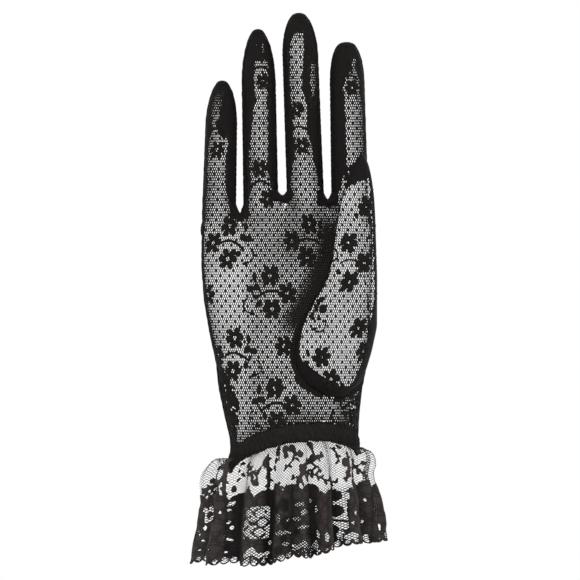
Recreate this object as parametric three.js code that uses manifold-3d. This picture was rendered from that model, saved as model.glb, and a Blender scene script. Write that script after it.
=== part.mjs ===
// A right-hand lace dress glove in the form that it has when worn: panels for the palm and the back,
// three strips between the fingers, a set-in thumb, a gathered elastic band and a flared ruffle.
// Millimetres. The origin is the middle of the elastic band. +X points to the thumb's side, +Y to the
// back of the hand and +Z to the fingertips. Angles round the wrist start at the middle of the palm.

import * as THREE from 'three';
import { mergeVertices } from 'three/addons/utils/BufferGeometryUtils.js';
import Module from 'manifold-3d';

const wasm = await Module();
wasm.setup();

// Cloth
const wall = 1.0;                // thickness of every cloth wall
const seamGap = 0.3;             // clearance between pieces that are sewn together

// Little, ring, middle and index finger: where each axis starts and ends, its half width there, and
// the length and shape of the round end
const fingerPower = 2.2;         // 2 is an ellipse, more is squarer
const fingerTable = [
  { baseX: -35.2, tipX: -33.3, baseZ: 100, tipZ: 174.1, baseHalf: 7.8, endHalf: 7.1, dome: 21, power: 1.9 },
  { baseX: -15.2, tipX: -16.8, baseZ: 104, tipZ: 198.0, baseHalf: 7.9, endHalf: 7.6, dome: 25, power: 1.9 },
  { baseX: 5.9, tipX: 2.2, baseZ: 104, tipZ: 205.5, baseHalf: 8.4, endHalf: 8.0, dome: 20, power: 2.0 },
  { baseX: 26.4, tipX: 24.3, baseZ: 102, tipZ: 192.0, baseHalf: 8.5, endHalf: 7.8, dome: 21, power: 2.4 },
];
const rootTable = [                                    // how a finger grows out of the hand
  { above: 0, width: 0.86, depth: 0.84 },
  { above: 12, width: 1.0, depth: 1.0 },
  { above: 24, width: 1.0, depth: 0.97 },
  { above: 40, width: 1.0, depth: 0.93 },
];
const domeSteps = [0.35, 0.65, 0.86, 0.97, 1];         // share of the round end
const tipHalf = 0.5;                                   // half width of the last ring
const knuckleZ = 112;                                  // the fingers curl forward above this
const curlReach = 6;                                   // how far forward a tip at curlTop has moved
const curlTop = 205;

// Hand: a row for each section from the wrist to the roots of the fingers
const handTable = [
  { z: -14.0, x: -0.1, halfWidth: 29.0, halfDepth: 20.0, power: 2.1 },
  { z: 7.0, x: 0.1, halfWidth: 29.2, halfDepth: 19.6, power: 2.1 },
  { z: 18.7, x: -1.0, halfWidth: 30.8, halfDepth: 18.0, power: 2.2 },
  { z: 30.6, x: -1.7, halfWidth: 32.8, halfDepth: 16.3, power: 2.3 },
  { z: 42.4, x: -1.1, halfWidth: 34.5, halfDepth: 14.9, power: 2.4 },
  { z: 54.3, x: -1.7, halfWidth: 36.6, halfDepth: 14.0, power: 2.5 },
  { z: 72.1, x: -2.8, halfWidth: 38.6, halfDepth: 13.3, power: 2.6 },
  { z: 88.0, x: -3.2, halfWidth: 39.3, halfDepth: 11.8, power: 2.6 },
  { z: 100.0, x: -3.2, halfWidth: 39.2, halfDepth: 9.8, power: 2.6 },
  { z: 108.4, x: -3.3, halfWidth: 38.6, halfDepth: 8.3, power: 2.5 },
  { z: 112.5, x: 3.7, halfWidth: 30.7, halfDepth: 7.4, power: 2.4 },
  { z: 116.3, x: 4.7, halfWidth: 25.1, halfDepth: 6.4, power: 2.4 },
  { z: 119.0, x: 2.8, halfWidth: 16.7, halfDepth: 5.2, power: 2.4 },
  { z: 120.9, x: 2.3, halfWidth: 10.7, halfDepth: 3.6, power: 2.4 },
];

// Thumb: a row for each section from the bottom of its base to the tip
const thumbTable = [
  { z: 27.0, x: 18.6, y: -12.2, halfWidth: 3.7, halfDepth: 4.0 },
  { z: 32.1, x: 17.4, y: -11.2, halfWidth: 12.3, halfDepth: 9.4 },
  { z: 38.5, x: 17.0, y: -10.6, halfWidth: 16.2, halfDepth: 12.2 },
  { z: 48.0, x: 17.7, y: -11.0, halfWidth: 18.4, halfDepth: 14.2 },
  { z: 59.5, x: 20.7, y: -12.6, halfWidth: 17.9, halfDepth: 15.0 },
  { z: 73.5, x: 24.4, y: -15.5, halfWidth: 14.2, halfDepth: 14.0 },
  { z: 83.2, x: 27.1, y: -18.0, halfWidth: 11.5, halfDepth: 12.6 },
  { z: 95.0, x: 28.1, y: -21.4, halfWidth: 10.1, halfDepth: 10.9 },
  { z: 110.7, x: 28.8, y: -23.6, halfWidth: 8.9, halfDepth: 9.4 },
  { z: 119.5, x: 29.6, y: -23.8, halfWidth: 7.6, halfDepth: 8.5 },
  { z: 127.5, x: 30.3, y: -23.5, halfWidth: 5.9, halfDepth: 7.1 },
  { z: 133.5, x: 30.8, y: -23.0, halfWidth: 4.2, halfDepth: 5.3 },
  { z: 137.5, x: 31.3, y: -22.4, halfWidth: 2.3, halfDepth: 3.1 },
  { z: 139.3, x: 31.5, y: -22.1, halfWidth: 0.5, halfDepth: 0.8 },
];
const thumbPower = 2.0;

// Strips between the fingers: the two fingers' rows, where the crotch is, and how wide the strip is
const stripTable = [
  { name: 'fourchette_little_ring', left: 0, right: 1, crotchX: -24.9, crotchZ: 112.5 },
  { name: 'fourchette_ring_middle', left: 1, right: 2, crotchX: -4.2, crotchZ: 120.9 },
  { name: 'fourchette_middle_index', left: 2, right: 3, crotchX: 16.0, crotchZ: 119.0 },
];
const stripHalfAtRoot = 4.6;     // half width of a strip at the crotch
const stripHalfAtTip = 2.2;      // and at its upper end
const stripBelowTip = 5;         // a strip ends this far below the fingertip
const stripRoot = 4;             // and starts this far below the crotch
const stripOverlap = 0.2;        // its two halves overlap by this much on each side of the crotch

// Wrist band: an elastic ring that rides up over the palm and over the back
const bandHeight = 8.0;
const bandThickness = 2.2;
const bandHalfWidth = 29.2;      // middle of the ring, across the hand
const bandHalfDepth = 19.6;      // middle of the ring, through the hand
const bandRoll = 0.14;           // rise for each millimetre towards the thumb's side
const bandRise = 10.0;           // rise at the middle of the palm and of the back
const bandRisePower = 1.2;
const gathers = 28;              // small pleats round the band
const gatherDepth = 0.4;
const bandProfile = [            // across the ring's thickness and height, as shares of half of each
  { out: -1.0, up: -0.8 },
  { out: 0.2, up: -1.0 },
  { out: 1.0, up: -0.55 },
  { out: 0.8, up: 0.0 },
  { out: 1.0, up: 0.55 },
  { out: 0.2, up: 1.0 },
  { out: -1.0, up: 0.8 },
];

// Ruffle: how its mean line flares, and a row for each fold where the cloth dips in
const ruffleInset = 0.6;         // its top edge lies this far inside the band's middle line
const hemLevel = -47.0;          // height of the hem at the middle of the palm
const hemRoll = 0.14;            // it slopes with the band
const ruffleLean = 0.15;         // share by which it flares more on the little finger's side
const scallopDepth = 0.9;
const foldColumns = 96;
const flareTable = [
  { down: 0.0, out: 0.0, wave: 0.1 },
  { down: 0.08, out: 4.0, wave: 0.35 },
  { down: 0.2, out: 7.0, wave: 0.55 },
  { down: 0.4, out: 9.2, wave: 0.75 },
  { down: 0.6, out: 10.8, wave: 0.9 },
  { down: 0.8, out: 12.2, wave: 1.0 },
  { down: 1.0, out: 13.4, wave: 1.1 },
];
const foldTable = [              // angle from the middle of the palm, depth of the dip, lift of the hem
  { angle: -71, depth: 3.8, lift: 3.4 },
  { angle: -42, depth: 4.4, lift: 0.8 },
  { angle: -16, depth: 4.2, lift: -2.1 },
  { angle: -1, depth: 1.8, lift: 0.4 },
  { angle: 12, depth: 3.0, lift: -1.6 },
  { angle: 32, depth: 4.4, lift: 2.2 },
  { angle: 55, depth: 2.2, lift: 1.6 },
  { angle: 78, depth: 3.6, lift: 1.2 },
];
const backLift = 0.3;            // the same folds run round the back, with this share of the lift

// Facets
const handSides = 26;
const fingerSides = 12;
const thumbSides = 16;
const cutterSides = gathers * 2;
const farAway = 80;              // reach of the blocks that cut, well outside the glove
const cutterOuter = 1.8;         // the wrist's cutter runs from this share of the band's size
const cutterInner = 0.5;         // to this one
const leastHalf = 0.1;           // no section gets thinner than this
const seamHeights = [-farAway, knuckleZ, 136, 160, 184, curlTop + farAway];
const stripSteps = 5;

const degrees = Math.PI / 180;
const lerp = THREE.MathUtils.lerp;

// How far the fingers have curled forward at a height
function curl(z) {
  const rise = Math.max(0, z - knuckleZ) / (curlTop - knuckleZ);
  return -curlReach * rise * rise;
}

// A value from a table's column at a place along another column
function readTable(table, key, place, column) {
  const last = table.length - 1;
  const after = table.findIndex((row) => row[key] >= place);
  if (after === 0) return table[0][column];
  if (after < 0) return table[last][column];
  const low = table[after - 1];
  const high = table[after];
  return lerp(low[column], high[column], (place - low[key]) / (high[key] - low[key]));
}

// Height of the band's middle line at an angle round the wrist
function bandHeightAt(angle) {
  const towardFace = Math.abs(Math.cos(angle));
  return bandRoll * bandHalfWidth * Math.sin(angle) + bandRise * towardFace ** bandRisePower;
}

// A closed solid through rings of points, each end closed by a fan
function skin(rings) {
  const sides = rings[0].length;
  const positions = [];
  const index = [];
  for (const ring of rings) {
    for (const point of ring) positions.push(point.x, point.y, point.z);
  }
  for (let r = 0; r + 1 < rings.length; r += 1) {
    for (let i = 0; i < sides; i += 1) {
      const a = r * sides + i;
      const b = r * sides + ((i + 1) % sides);
      index.push(a, b, b + sides, a, b + sides, a + sides);
    }
  }
  const addCap = (ring, start, upward) => {
    const middle = ring.reduce((sum, point) => sum.add(point), new THREE.Vector3()).divideScalar(sides);
    const centre = positions.length / 3;
    positions.push(middle.x, middle.y, middle.z);
    for (let i = 0; i < sides; i += 1) {
      const a = start + i;
      const b = start + ((i + 1) % sides);
      if (upward) index.push(a, b, centre);
      else index.push(b, a, centre);
    }
  };
  addCap(rings[0], 0, false);
  addCap(rings[rings.length - 1], (rings.length - 1) * sides, true);
  return asGeometry(positions, index);
}

// A closed ring: each column is a closed profile, and the last column joins the first
function wrap(columns) {
  const count = columns.length;
  const points = columns[0].length;
  const positions = columns.flat().flatMap((point) => [point.x, point.y, point.z]);
  const index = [];
  for (let c = 0; c < count; c += 1) {
    const next = ((c + 1) % count) * points;
    for (let p = 0; p < points; p += 1) {
      const a = c * points + p;
      const b = c * points + ((p + 1) % points);
      const d = next + p;
      const e = next + ((p + 1) % points);
      index.push(a, d, e, a, e, b);
    }
  }
  return asGeometry(positions, index);
}

function asGeometry(positions, index) {
  const geometry = new THREE.BufferGeometry();
  geometry.setAttribute('position', new THREE.Float32BufferAttribute(positions, 3));
  geometry.setIndex(index);
  return geometry;
}

// A ring of points on a rounded section, grown or shrunk by a distance
function sectionRing(section, sides, grow) {
  const ring = [];
  for (let i = 0; i < sides; i += 1) {
    const angle = (i / sides) * 2 * Math.PI;
    const across = Math.sign(Math.cos(angle)) * Math.abs(Math.cos(angle)) ** (2 / section.power);
    const through = Math.sign(Math.sin(angle)) * Math.abs(Math.sin(angle)) ** (2 / section.power);
    ring.push(new THREE.Vector3(
      section.x + Math.max(leastHalf, section.halfWidth + grow) * across,
      section.y + Math.max(leastHalf, section.halfDepth + grow) * through,
      section.z,
    ));
  }
  return ring;
}

// A solid through rounded sections, grown or shrunk by a distance on every side
function loft(sections, sides, grow) {
  const low = sections[0].z;
  const high = sections[sections.length - 1].z;
  const stretch = (high - low + 2 * grow) / (high - low);
  const middle = (low + high) / 2;
  return solid(skin(sections.map((section) => {
    const z = middle + (section.z - middle) * stretch;
    return sectionRing({ ...section, z }, sides, grow);
  })));
}

// A block whose four sides are functions of the height
function block(heights, sidesAt) {
  return solid(skin(heights.map((z) => {
    const { left, right, front, back } = sidesAt(z);
    return [
      new THREE.Vector3(left, front, z),
      new THREE.Vector3(right, front, z),
      new THREE.Vector3(right, back, z),
      new THREE.Vector3(left, back, z),
    ];
  })));
}

function solid(geometry) {
  const merged = mergeVertices(geometry, 1e-5);
  return new wasm.Manifold(new wasm.Mesh({
    numProp: 3,
    vertProperties: new Float32Array(merged.attributes.position.array),
    triVerts: new Uint32Array(merged.index.array),
  }));
}

function geometryOf(manifold) {
  const mesh = manifold.getMesh();
  const geometry = new THREE.BufferGeometry();
  geometry.setAttribute('position', new THREE.BufferAttribute(new Float32Array(mesh.vertProperties), 3));
  geometry.setIndex(new THREE.BufferAttribute(new Uint32Array(mesh.triVerts), 1));
  return geometry;
}

// The largest body of a cut solid: slivers that a cut leaves are dropped
function largest(manifold) {
  const bodies = manifold.decompose();
  return bodies.reduce((best, body) => (body.volume() > best.volume() ? body : best));
}

function evenSteps(low, high, count) {
  return Array.from({ length: count + 1 }, (_, i) => lerp(low, high, i / count));
}

// Fingers
function fingerAxis(row, z) {
  return lerp(row.baseX, row.tipX, (z - row.baseZ) / (row.tipZ - row.baseZ));
}

function fingerSections(row) {
  const domeZ = row.tipZ - row.dome;
  const sectionAt = (z, half) => ({
    z,
    x: fingerAxis(row, z),
    y: curl(z),
    halfWidth: half * readTable(rootTable, 'above', z - row.baseZ, 'width'),
    halfDepth: half * readTable(rootTable, 'above', z - row.baseZ, 'depth'),
    power: fingerPower,
  });
  const shaftHeights = [...rootTable.map((root) => row.baseZ + root.above), domeZ];
  const shaft = shaftHeights.map((z) => (
    sectionAt(z, lerp(row.baseHalf, row.endHalf, (z - row.baseZ) / (domeZ - row.baseZ)))
  ));
  const dome = domeSteps.map((t) => {
    const share = (1 - t ** row.power) ** (1 / row.power);
    return sectionAt(domeZ + t * row.dome, Math.max(tipHalf, row.endHalf * share));
  });
  return [...shaft, ...dome];
}

function handSolid(grow) {
  const hand = loft(handTable.map((row) => ({ ...row, y: 0 })), handSides, grow);
  const fingers = fingerTable.map((row) => loft(fingerSections(row), fingerSides, grow));
  return fingers.reduce((sum, finger) => sum.add(finger), hand);
}

function thumbSolid(grow) {
  return loft(thumbTable.map((row) => ({ ...row, power: thumbPower })), thumbSides, grow);
}

// What lies below the band's upper edge, with an upper face that follows the band's line
function belowBand() {
  const ringAt = (scale, heightAt) => Array.from({ length: cutterSides }, (_, i) => {
    const angle = (i / cutterSides) * 2 * Math.PI;
    return new THREE.Vector3(
      bandHalfWidth * scale * Math.sin(angle),
      -bandHalfDepth * scale * Math.cos(angle),
      heightAt(angle),
    );
  });
  const edge = (angle) => bandHeightAt(angle) + bandHeight / 2 + seamGap;
  const rings = [ringAt(cutterOuter, () => -farAway), ringAt(cutterOuter, edge), ringAt(cutterInner, edge)];
  return solid(skin(rings));
}

// The space of a strip on one finger's side, up to just below the fingertip
function stripSide(row, finger, neighbour, grow) {
  const low = row.crotchZ - stripRoot - grow;
  const high = finger.tipZ - stripBelowTip + grow;
  const side = Math.sign(neighbour.baseX - finger.baseX);
  return block(evenSteps(low, high, stripSteps), (z) => {
    const taper = THREE.MathUtils.clamp((z - row.crotchZ) / (high - row.crotchZ), 0, 1);
    const half = lerp(stripHalfAtRoot, stripHalfAtTip, taper) + grow;
    const axis = fingerAxis(finger, z);
    const middle = row.crotchX + side * stripOverlap;
    return {
      left: Math.min(axis, middle),
      right: Math.max(axis, middle),
      front: curl(z) - half,
      back: curl(z) + half,
    };
  });
}

function stripSpace(row, grow) {
  const left = fingerTable[row.left];
  const right = fingerTable[row.right];
  return stripSide(row, left, right, grow).add(stripSide(row, right, left, grow));
}

// Half of all space: in front of the seam line or behind it
function seamSide(direction) {
  return block(seamHeights, (z) => {
    const edge = curl(z) + (direction * seamGap) / 2;
    return {
      left: -farAway,
      right: farAway,
      front: direction < 0 ? -farAway : edge,
      back: direction < 0 ? edge : farAway,
    };
  });
}

// Wrist band
function bandGeometry() {
  const columns = [];
  for (let c = 0; c < gathers * 2; c += 1) {
    const angle = (c / (gathers * 2)) * 2 * Math.PI;
    const ripple = c % 2 === 0 ? gatherDepth : 0;
    columns.push(bandProfile.map((point) => {
      const out = (point.out * bandThickness) / 2 - (point.out > 0 ? ripple : 0);
      return new THREE.Vector3(
        (bandHalfWidth + out) * Math.sin(angle),
        -(bandHalfDepth + out) * Math.cos(angle),
        bandHeightAt(angle) + (point.up * bandHeight) / 2,
      );
    }));
  }
  return wrap(columns);
}

// Ruffle
const backFolds = foldTable.map((fold) => ({
  angle: Math.sign(fold.angle) * 180 - fold.angle,
  depth: fold.depth,
  lift: fold.lift * backLift,
}));
const folds = [...foldTable, ...backFolds].sort((a, b) => a.angle - b.angle);

function foldAt(angle) {
  const turn = 360;
  const place = angle / degrees;
  const count = folds.length;
  for (let i = 0; i < count; i += 1) {
    const low = folds[i];
    const high = folds[(i + 1) % count];
    const span = ((high.angle - low.angle) % turn + turn) % turn;
    const along = ((place - low.angle) % turn + turn) % turn;
    if (along <= span) {
      const t = along / span;
      return {
        dip: -lerp(low.depth, high.depth, t) * Math.cos(2 * Math.PI * t),
        lift: lerp(low.lift, high.lift, t),
      };
    }
  }
  return { dip: 0, lift: 0 };
}

function ruffleMiddle(angle, down, hemDrop) {
  const fold = foldAt(angle);
  const flare = readTable(flareTable, 'down', down, 'out') * (1 - ruffleLean * Math.sin(angle));
  const out = flare + fold.dip * readTable(flareTable, 'down', down, 'wave');
  const top = bandHeightAt(angle) - bandHeight / 2 - seamGap;
  const hem = hemLevel + hemRoll * (bandHalfWidth + out) * Math.sin(angle) + fold.lift - hemDrop;
  return new THREE.Vector3(
    (bandHalfWidth - ruffleInset + out) * Math.sin(angle),
    -(bandHalfDepth - ruffleInset + out) * Math.cos(angle),
    lerp(top, hem, down),
  );
}

function ruffleGeometry() {
  const step = (2 * Math.PI) / foldColumns;
  const columns = [];
  for (let c = 0; c < foldColumns; c += 1) {
    const angle = c * step;
    const hemDrop = c % 2 === 0 ? scallopDepth : 0;
    const sideAt = (down, side) => {
      const middle = ruffleMiddle(angle, down, hemDrop);
      const before = ruffleMiddle(angle - step / 2, down, hemDrop);
      const along = ruffleMiddle(angle + step / 2, down, hemDrop).sub(before);
      const outward = new THREE.Vector3(along.y, -along.x, 0).normalize();
      return middle.addScaledVector(outward, (side * wall) / 2);
    };
    const downSteps = flareTable.map((row) => row.down);
    const inside = downSteps.map((down) => sideAt(down, -1));
    const outside = downSteps.map((down) => sideAt(down, 1)).reverse();
    columns.push([...inside, ...outside]);
  }
  return wrap(columns);
}

function clothMaterial(color, roughness) {
  return new THREE.MeshStandardMaterial({ color, roughness, metalness: 0 });
}

const net = () => clothMaterial('#1b1817', 0.85);
const seamCloth = () => clothMaterial('#12100f', 0.8);
const elastic = () => clothMaterial('#0e0d0d', 0.75);
const ruffleLace = () => clothMaterial('#242020', 0.85);

const glove = new THREE.Group();

function addPiece(name, geometry, material) {
  const mesh = new THREE.Mesh(geometry, material);
  mesh.name = name;
  glove.add(mesh);
}

// Hand pieces: one shell, cut at the wrist, then parted along its seams
const handOuter = handSolid(0);
const wristCut = belowBand();
const shell = handOuter.subtract(handSolid(-wall)).subtract(wristCut);
const thumbInner = thumbSolid(-wall);
const panels = stripTable.reduce((rest, row) => rest.subtract(stripSpace(row, seamGap)), shell);

addPiece('palm_panel', geometryOf(largest(panels.intersect(seamSide(-1)).subtract(thumbInner))), net());
addPiece('back_panel', geometryOf(largest(panels.intersect(seamSide(1)))), net());
for (const row of stripTable) {
  addPiece(row.name, geometryOf(largest(shell.intersect(stripSpace(row, 0)))), seamCloth());
}

const thumb = thumbSolid(0).subtract(thumbInner).subtract(handSolid(seamGap)).subtract(wristCut);
addPiece('thumb', geometryOf(largest(thumb)), net());
addPiece('wrist_band', bandGeometry(), elastic());
addPiece('cuff_ruffle', ruffleGeometry(), ruffleLace());

export default glove;
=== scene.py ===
import math
import bpy
import numpy as np
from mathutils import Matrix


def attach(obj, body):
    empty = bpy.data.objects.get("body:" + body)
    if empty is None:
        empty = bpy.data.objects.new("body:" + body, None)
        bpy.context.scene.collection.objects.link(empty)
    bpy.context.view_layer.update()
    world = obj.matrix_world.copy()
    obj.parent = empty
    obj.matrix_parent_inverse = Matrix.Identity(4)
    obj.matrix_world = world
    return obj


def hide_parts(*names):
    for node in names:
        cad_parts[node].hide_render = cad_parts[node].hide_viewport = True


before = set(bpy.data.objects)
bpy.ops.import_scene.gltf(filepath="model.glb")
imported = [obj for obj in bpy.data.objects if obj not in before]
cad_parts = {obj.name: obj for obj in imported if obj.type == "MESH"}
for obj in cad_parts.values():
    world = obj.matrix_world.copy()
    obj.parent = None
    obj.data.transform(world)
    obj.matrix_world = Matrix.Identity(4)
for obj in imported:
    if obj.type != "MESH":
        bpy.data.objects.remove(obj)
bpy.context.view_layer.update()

# Lengths are in millimetres until a mesh is made. x runs to the thumb, y to the back of the hand, z to the
# fingertips, and the origin is the middle of the elastic band, as in the frame.
view = {
    "distance": 6000.0,      # a long lens, so the glove is seen almost without perspective
    "middleX": -1.86,
    "middleZ": 76.7,
    "width": 269.7,          # what the frame spans at the glove
    "sensor": 36.0,
    "floor": -120.0,
    "floorRadius": 1500.0,
    "floorSides": 96,
}
glove = {
    "pitch": 0.465,          # millimetres for one step of the plan that the motifs are laid out on
    "planX": 294.0,          # where the plan has the origin
    "planZ": 455.0,
    "rootTop": 106.0,        # above this the palm's sections give way to the fingers
    "knuckle": 112.0,
    "curlReach": 6.0,
    "curlTop": 205.0,
    "thumbLow": 27.0,
    "thumbTop": 139.5,
    "farOff": 14.0,          # added to a distance to take a form out of play
    "soften": 1.6,           # how softly fingers and palm run into each other
}


def stage(text):
    print("glove:", text, flush=True)


def smooth(low, high, x):
    t = np.clip((x - low) / (high - low), 0.0, 1.0)
    return t * t * (3.0 - 2.0 * t)


def fromPlan(planX, planY):
    return (planX - glove["planX"]) * glove["pitch"], (glove["planZ"] - planY) * glove["pitch"]


def ripple(seed, a, b, scale):      # smooth noise between about -1 and 1
    rng = np.random.default_rng(seed)
    total = np.zeros(np.broadcast(a, b).shape)
    for octave in range(3):
        for _ in range(4):
            turn = rng.uniform(0.0, 2.0 * math.pi)
            size = scale * rng.uniform(0.7, 1.4) / 1.9 ** octave
            total = total + np.sin((a * math.cos(turn) + b * math.sin(turn)) * 2.0 * math.pi / size
                                   + rng.uniform(0.0, 6.28)) / 1.7 ** octave
    return total / 4.2


# Camera
camera = bpy.data.objects.new("Camera", bpy.data.cameras.new("Camera"))
bpy.context.scene.collection.objects.link(camera)
camera.location = (view["middleX"] / 1000, -view["distance"] / 1000, view["middleZ"] / 1000)
camera.rotation_euler = (math.pi / 2, 0.0, 0.0)
camera.data.sensor_width = view["sensor"]
camera.data.lens = view["sensor"] * view["distance"] / view["width"]
camera.data.clip_end = 60.0
bpy.context.scene.camera = camera
bpy.context.scene.view_settings.view_transform = "Standard"


# Shader maths as expressions
class Shade:
    def __init__(self, tree, socket):
        self.tree = tree
        self.socket = socket

    def math(self, kind, other=None, swap=False):
        made = self.tree.nodes.new("ShaderNodeMath")
        made.operation = kind
        pair = [self, other][::-1] if swap else [self, other]
        for slot, value in enumerate(pair):
            if isinstance(value, Shade):
                self.tree.links.new(value.socket, made.inputs[slot])
            elif value is not None:
                made.inputs[slot].default_value = value
        return Shade(self.tree, made.outputs[0])

    def __add__(self, other): return self.math("ADD", other)
    def __radd__(self, other): return self.math("ADD", other, True)
    def __sub__(self, other): return self.math("SUBTRACT", other)
    def __rsub__(self, other): return self.math("SUBTRACT", other, True)
    def __mul__(self, other): return self.math("MULTIPLY", other)
    def __rmul__(self, other): return self.math("MULTIPLY", other, True)
    def __pow__(self, other): return self.math("POWER", other)


class Finish:
    def __init__(self, name):
        self.material = bpy.data.materials.new(name)
        self.material.use_nodes = True
        self.tree = self.material.node_tree
        self.shader = self.tree.nodes["Principled BSDF"]

    def node(self, kind, settings=None, output=0, **values):
        made = self.tree.nodes.new(kind)
        for key, value in (settings or {}).items():
            setattr(made, key, value)
        for key, value in values.items():
            socket = made.inputs[int(key[2:])] if key.startswith("in") else made.inputs[key]
            if isinstance(value, Shade):
                self.tree.links.new(value.socket, socket)
            else:
                socket.default_value = value
        return Shade(self.tree, made.outputs[output])

    def mix(self, share, low, high):
        return self.node("ShaderNodeMix", {"data_type": "RGBA"}, 2, in0=share, in6=low, in7=high)

    def drive(self, **links):
        for key, value in links.items():
            socket = self.shader.inputs[key.replace("_", " ")]
            if isinstance(value, Shade):
                self.tree.links.new(value.socket, socket)
            else:
                socket.default_value = value
        return self.material


def threadFinish(name, look):
    made = Finish(name)
    place = made.node("ShaderNodeTexCoord", output=3)
    uneven = made.node("ShaderNodeTexNoise", Vector=place, Scale=look["patch"], Detail=3.0)
    fibre = made.node("ShaderNodeTexNoise", Vector=place, Scale=look["fibre"], Detail=2.0)
    colour = made.mix(uneven * 0.7 + fibre * 0.3, look["dark"], look["light"])
    bump = made.node("ShaderNodeBump", Height=fibre, Strength=look["relief"], Distance=0.0002)
    made.drive(Sheen_Weight=look["sheen"], Sheen_Roughness=0.45, Specular_IOR_Level=look["gloss"])
    return made.drive(Base_Color=colour, Roughness=uneven * 0.2 + look["rough"], Normal=bump)


threads = {
    "net_thread": {"dark": (0.007, 0.006, 0.0055, 1), "light": (0.021, 0.018, 0.016, 1), "patch": 60.0,
                   "fibre": 5200.0, "relief": 0.35, "rough": 0.5, "sheen": 0.0, "gloss": 0.1},
    "motif_thread": {"dark": (0.0035, 0.003, 0.0028, 1), "light": (0.013, 0.011, 0.010, 1), "patch": 220.0,
                     "fibre": 3600.0, "relief": 0.7, "rough": 0.55, "sheen": 0.0, "gloss": 0.07},
    "seam_cloth": {"dark": (0.003, 0.0026, 0.0026, 1), "light": (0.012, 0.010, 0.0095, 1), "patch": 260.0,
                   "fibre": 2600.0, "relief": 0.9, "rough": 0.6, "sheen": 0.0, "gloss": 0.06},
    "band_cloth": {"dark": (0.003, 0.0026, 0.0024, 1), "light": (0.02, 0.017, 0.016, 1), "patch": 320.0,
                   "fibre": 2400.0, "relief": 0.9, "rough": 0.6, "sheen": 0.01, "gloss": 0.07},
    "ruffle_thread": {"dark": (0.006, 0.005, 0.0048, 1), "light": (0.026, 0.022, 0.020, 1), "patch": 90.0,
                      "fibre": 4200.0, "relief": 0.5, "rough": 0.5, "sheen": 0.0, "gloss": 0.1},
}
finishes = {name: threadFinish(name, look) for name, look in threads.items()}


# Pieces from arrays
def addPiece(name, points, faces, finish, slotName, nodes, uv=None):
    mesh = bpy.data.meshes.new(name)
    mesh.from_pydata((np.asarray(points) / 1000.0).tolist(), [], [tuple(face) for face in faces])
    mesh.materials.append(finish)
    mesh.polygons.foreach_set("use_smooth", [True] * len(mesh.polygons))
    if uv is not None:
        layer = mesh.uv_layers.new(name="cloth")
        corner = np.empty(len(mesh.loops), dtype=np.int32)
        mesh.loops.foreach_get("vertex_index", corner)
        layer.data.foreach_set("uv", np.asarray(uv, dtype=np.float32)[corner].ravel())
    mesh.validate()
    piece = bpy.data.objects.new(name, mesh)
    bpy.context.scene.collection.objects.link(piece)
    finishPiece(piece, nodes)
    return piece


def finishPiece(piece, nodes):
    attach(piece, "root")
    for node in nodes:
        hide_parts(node)
    piece.data.calc_loop_triangles()
    stage("%s, %d triangles" % (piece.name, len(piece.data.loop_triangles)))


def strandTree():      # thin tubes along the edges of a mesh, each as thick as its points say
    tree = bpy.data.node_groups.new("strands", "GeometryNodeTree")
    for name, kind in (("Geometry", "Geometry"), ("Sides", "Int"), ("Thread", "Material")):
        tree.interface.new_socket(name, in_out="INPUT", socket_type="NodeSocket" + kind)
    tree.interface.new_socket("Geometry", in_out="OUTPUT", socket_type="NodeSocketGeometry")
    given = tree.nodes.new("NodeGroupInput")
    result = tree.nodes.new("NodeGroupOutput")
    toCurve = tree.nodes.new("GeometryNodeMeshToCurve")
    radius = tree.nodes.new("GeometryNodeInputNamedAttribute")
    radius.data_type = "FLOAT"
    radius.inputs["Name"].default_value = "thick"
    setRadius = tree.nodes.new("GeometryNodeSetCurveRadius")
    circle = tree.nodes.new("GeometryNodeCurvePrimitiveCircle")
    circle.inputs["Radius"].default_value = 1.0
    sweep = tree.nodes.new("GeometryNodeCurveToMesh")
    real = tree.nodes.new("GeometryNodeRealizeInstances")
    paint = tree.nodes.new("GeometryNodeSetMaterial")
    link = tree.links.new
    link(given.outputs["Geometry"], toCurve.inputs[0])
    link(toCurve.outputs[0], setRadius.inputs["Curve"])
    link(radius.outputs["Attribute"], setRadius.inputs["Radius"])
    link(given.outputs["Sides"], circle.inputs["Resolution"])
    link(setRadius.outputs[0], sweep.inputs["Curve"])
    link(circle.outputs[0], sweep.inputs["Profile Curve"])
    if "Scale" in sweep.inputs:
        link(radius.outputs["Attribute"], sweep.inputs["Scale"])
    link(sweep.outputs[0], real.inputs[0])
    link(real.outputs[0], paint.inputs["Geometry"])
    link(given.outputs["Thread"], paint.inputs["Material"])
    link(paint.outputs[0], result.inputs[0])
    return tree


strands = strandTree()


def applyTree(piece, tree, values):
    modifier = piece.modifiers.new(tree.name, "NODES")
    modifier.node_group = tree
    for item in tree.interface.items_tree:
        if item.in_out == "INPUT" and item.name in values:
            modifier[item.identifier] = values[item.name]
    solid = bpy.data.meshes.new_from_object(piece.evaluated_get(bpy.context.evaluated_depsgraph_get()))
    piece.modifiers.remove(modifier)
    old = piece.data
    piece.data = solid
    bpy.data.meshes.remove(old)
    solid.name = piece.name


def addStrands(name, points, edges, thick, finish, slotName, nodes, sides=3):
    mesh = bpy.data.meshes.new(name)
    mesh.from_pydata((points / 1000.0).tolist(), edges.tolist(), [])
    radii = mesh.attributes.new("thick", "FLOAT", "POINT")
    radii.data.foreach_set("value", (thick / 1000.0).astype(np.float32))
    piece = bpy.data.objects.new(name, mesh)
    bpy.context.scene.collection.objects.link(piece)
    applyTree(piece, strands, {"Sides": sides, "Thread": finish})
    piece.data.polygons.foreach_set("use_smooth", [True] * len(piece.data.polygons))
    finishPiece(piece, nodes)
    return piece


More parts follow.
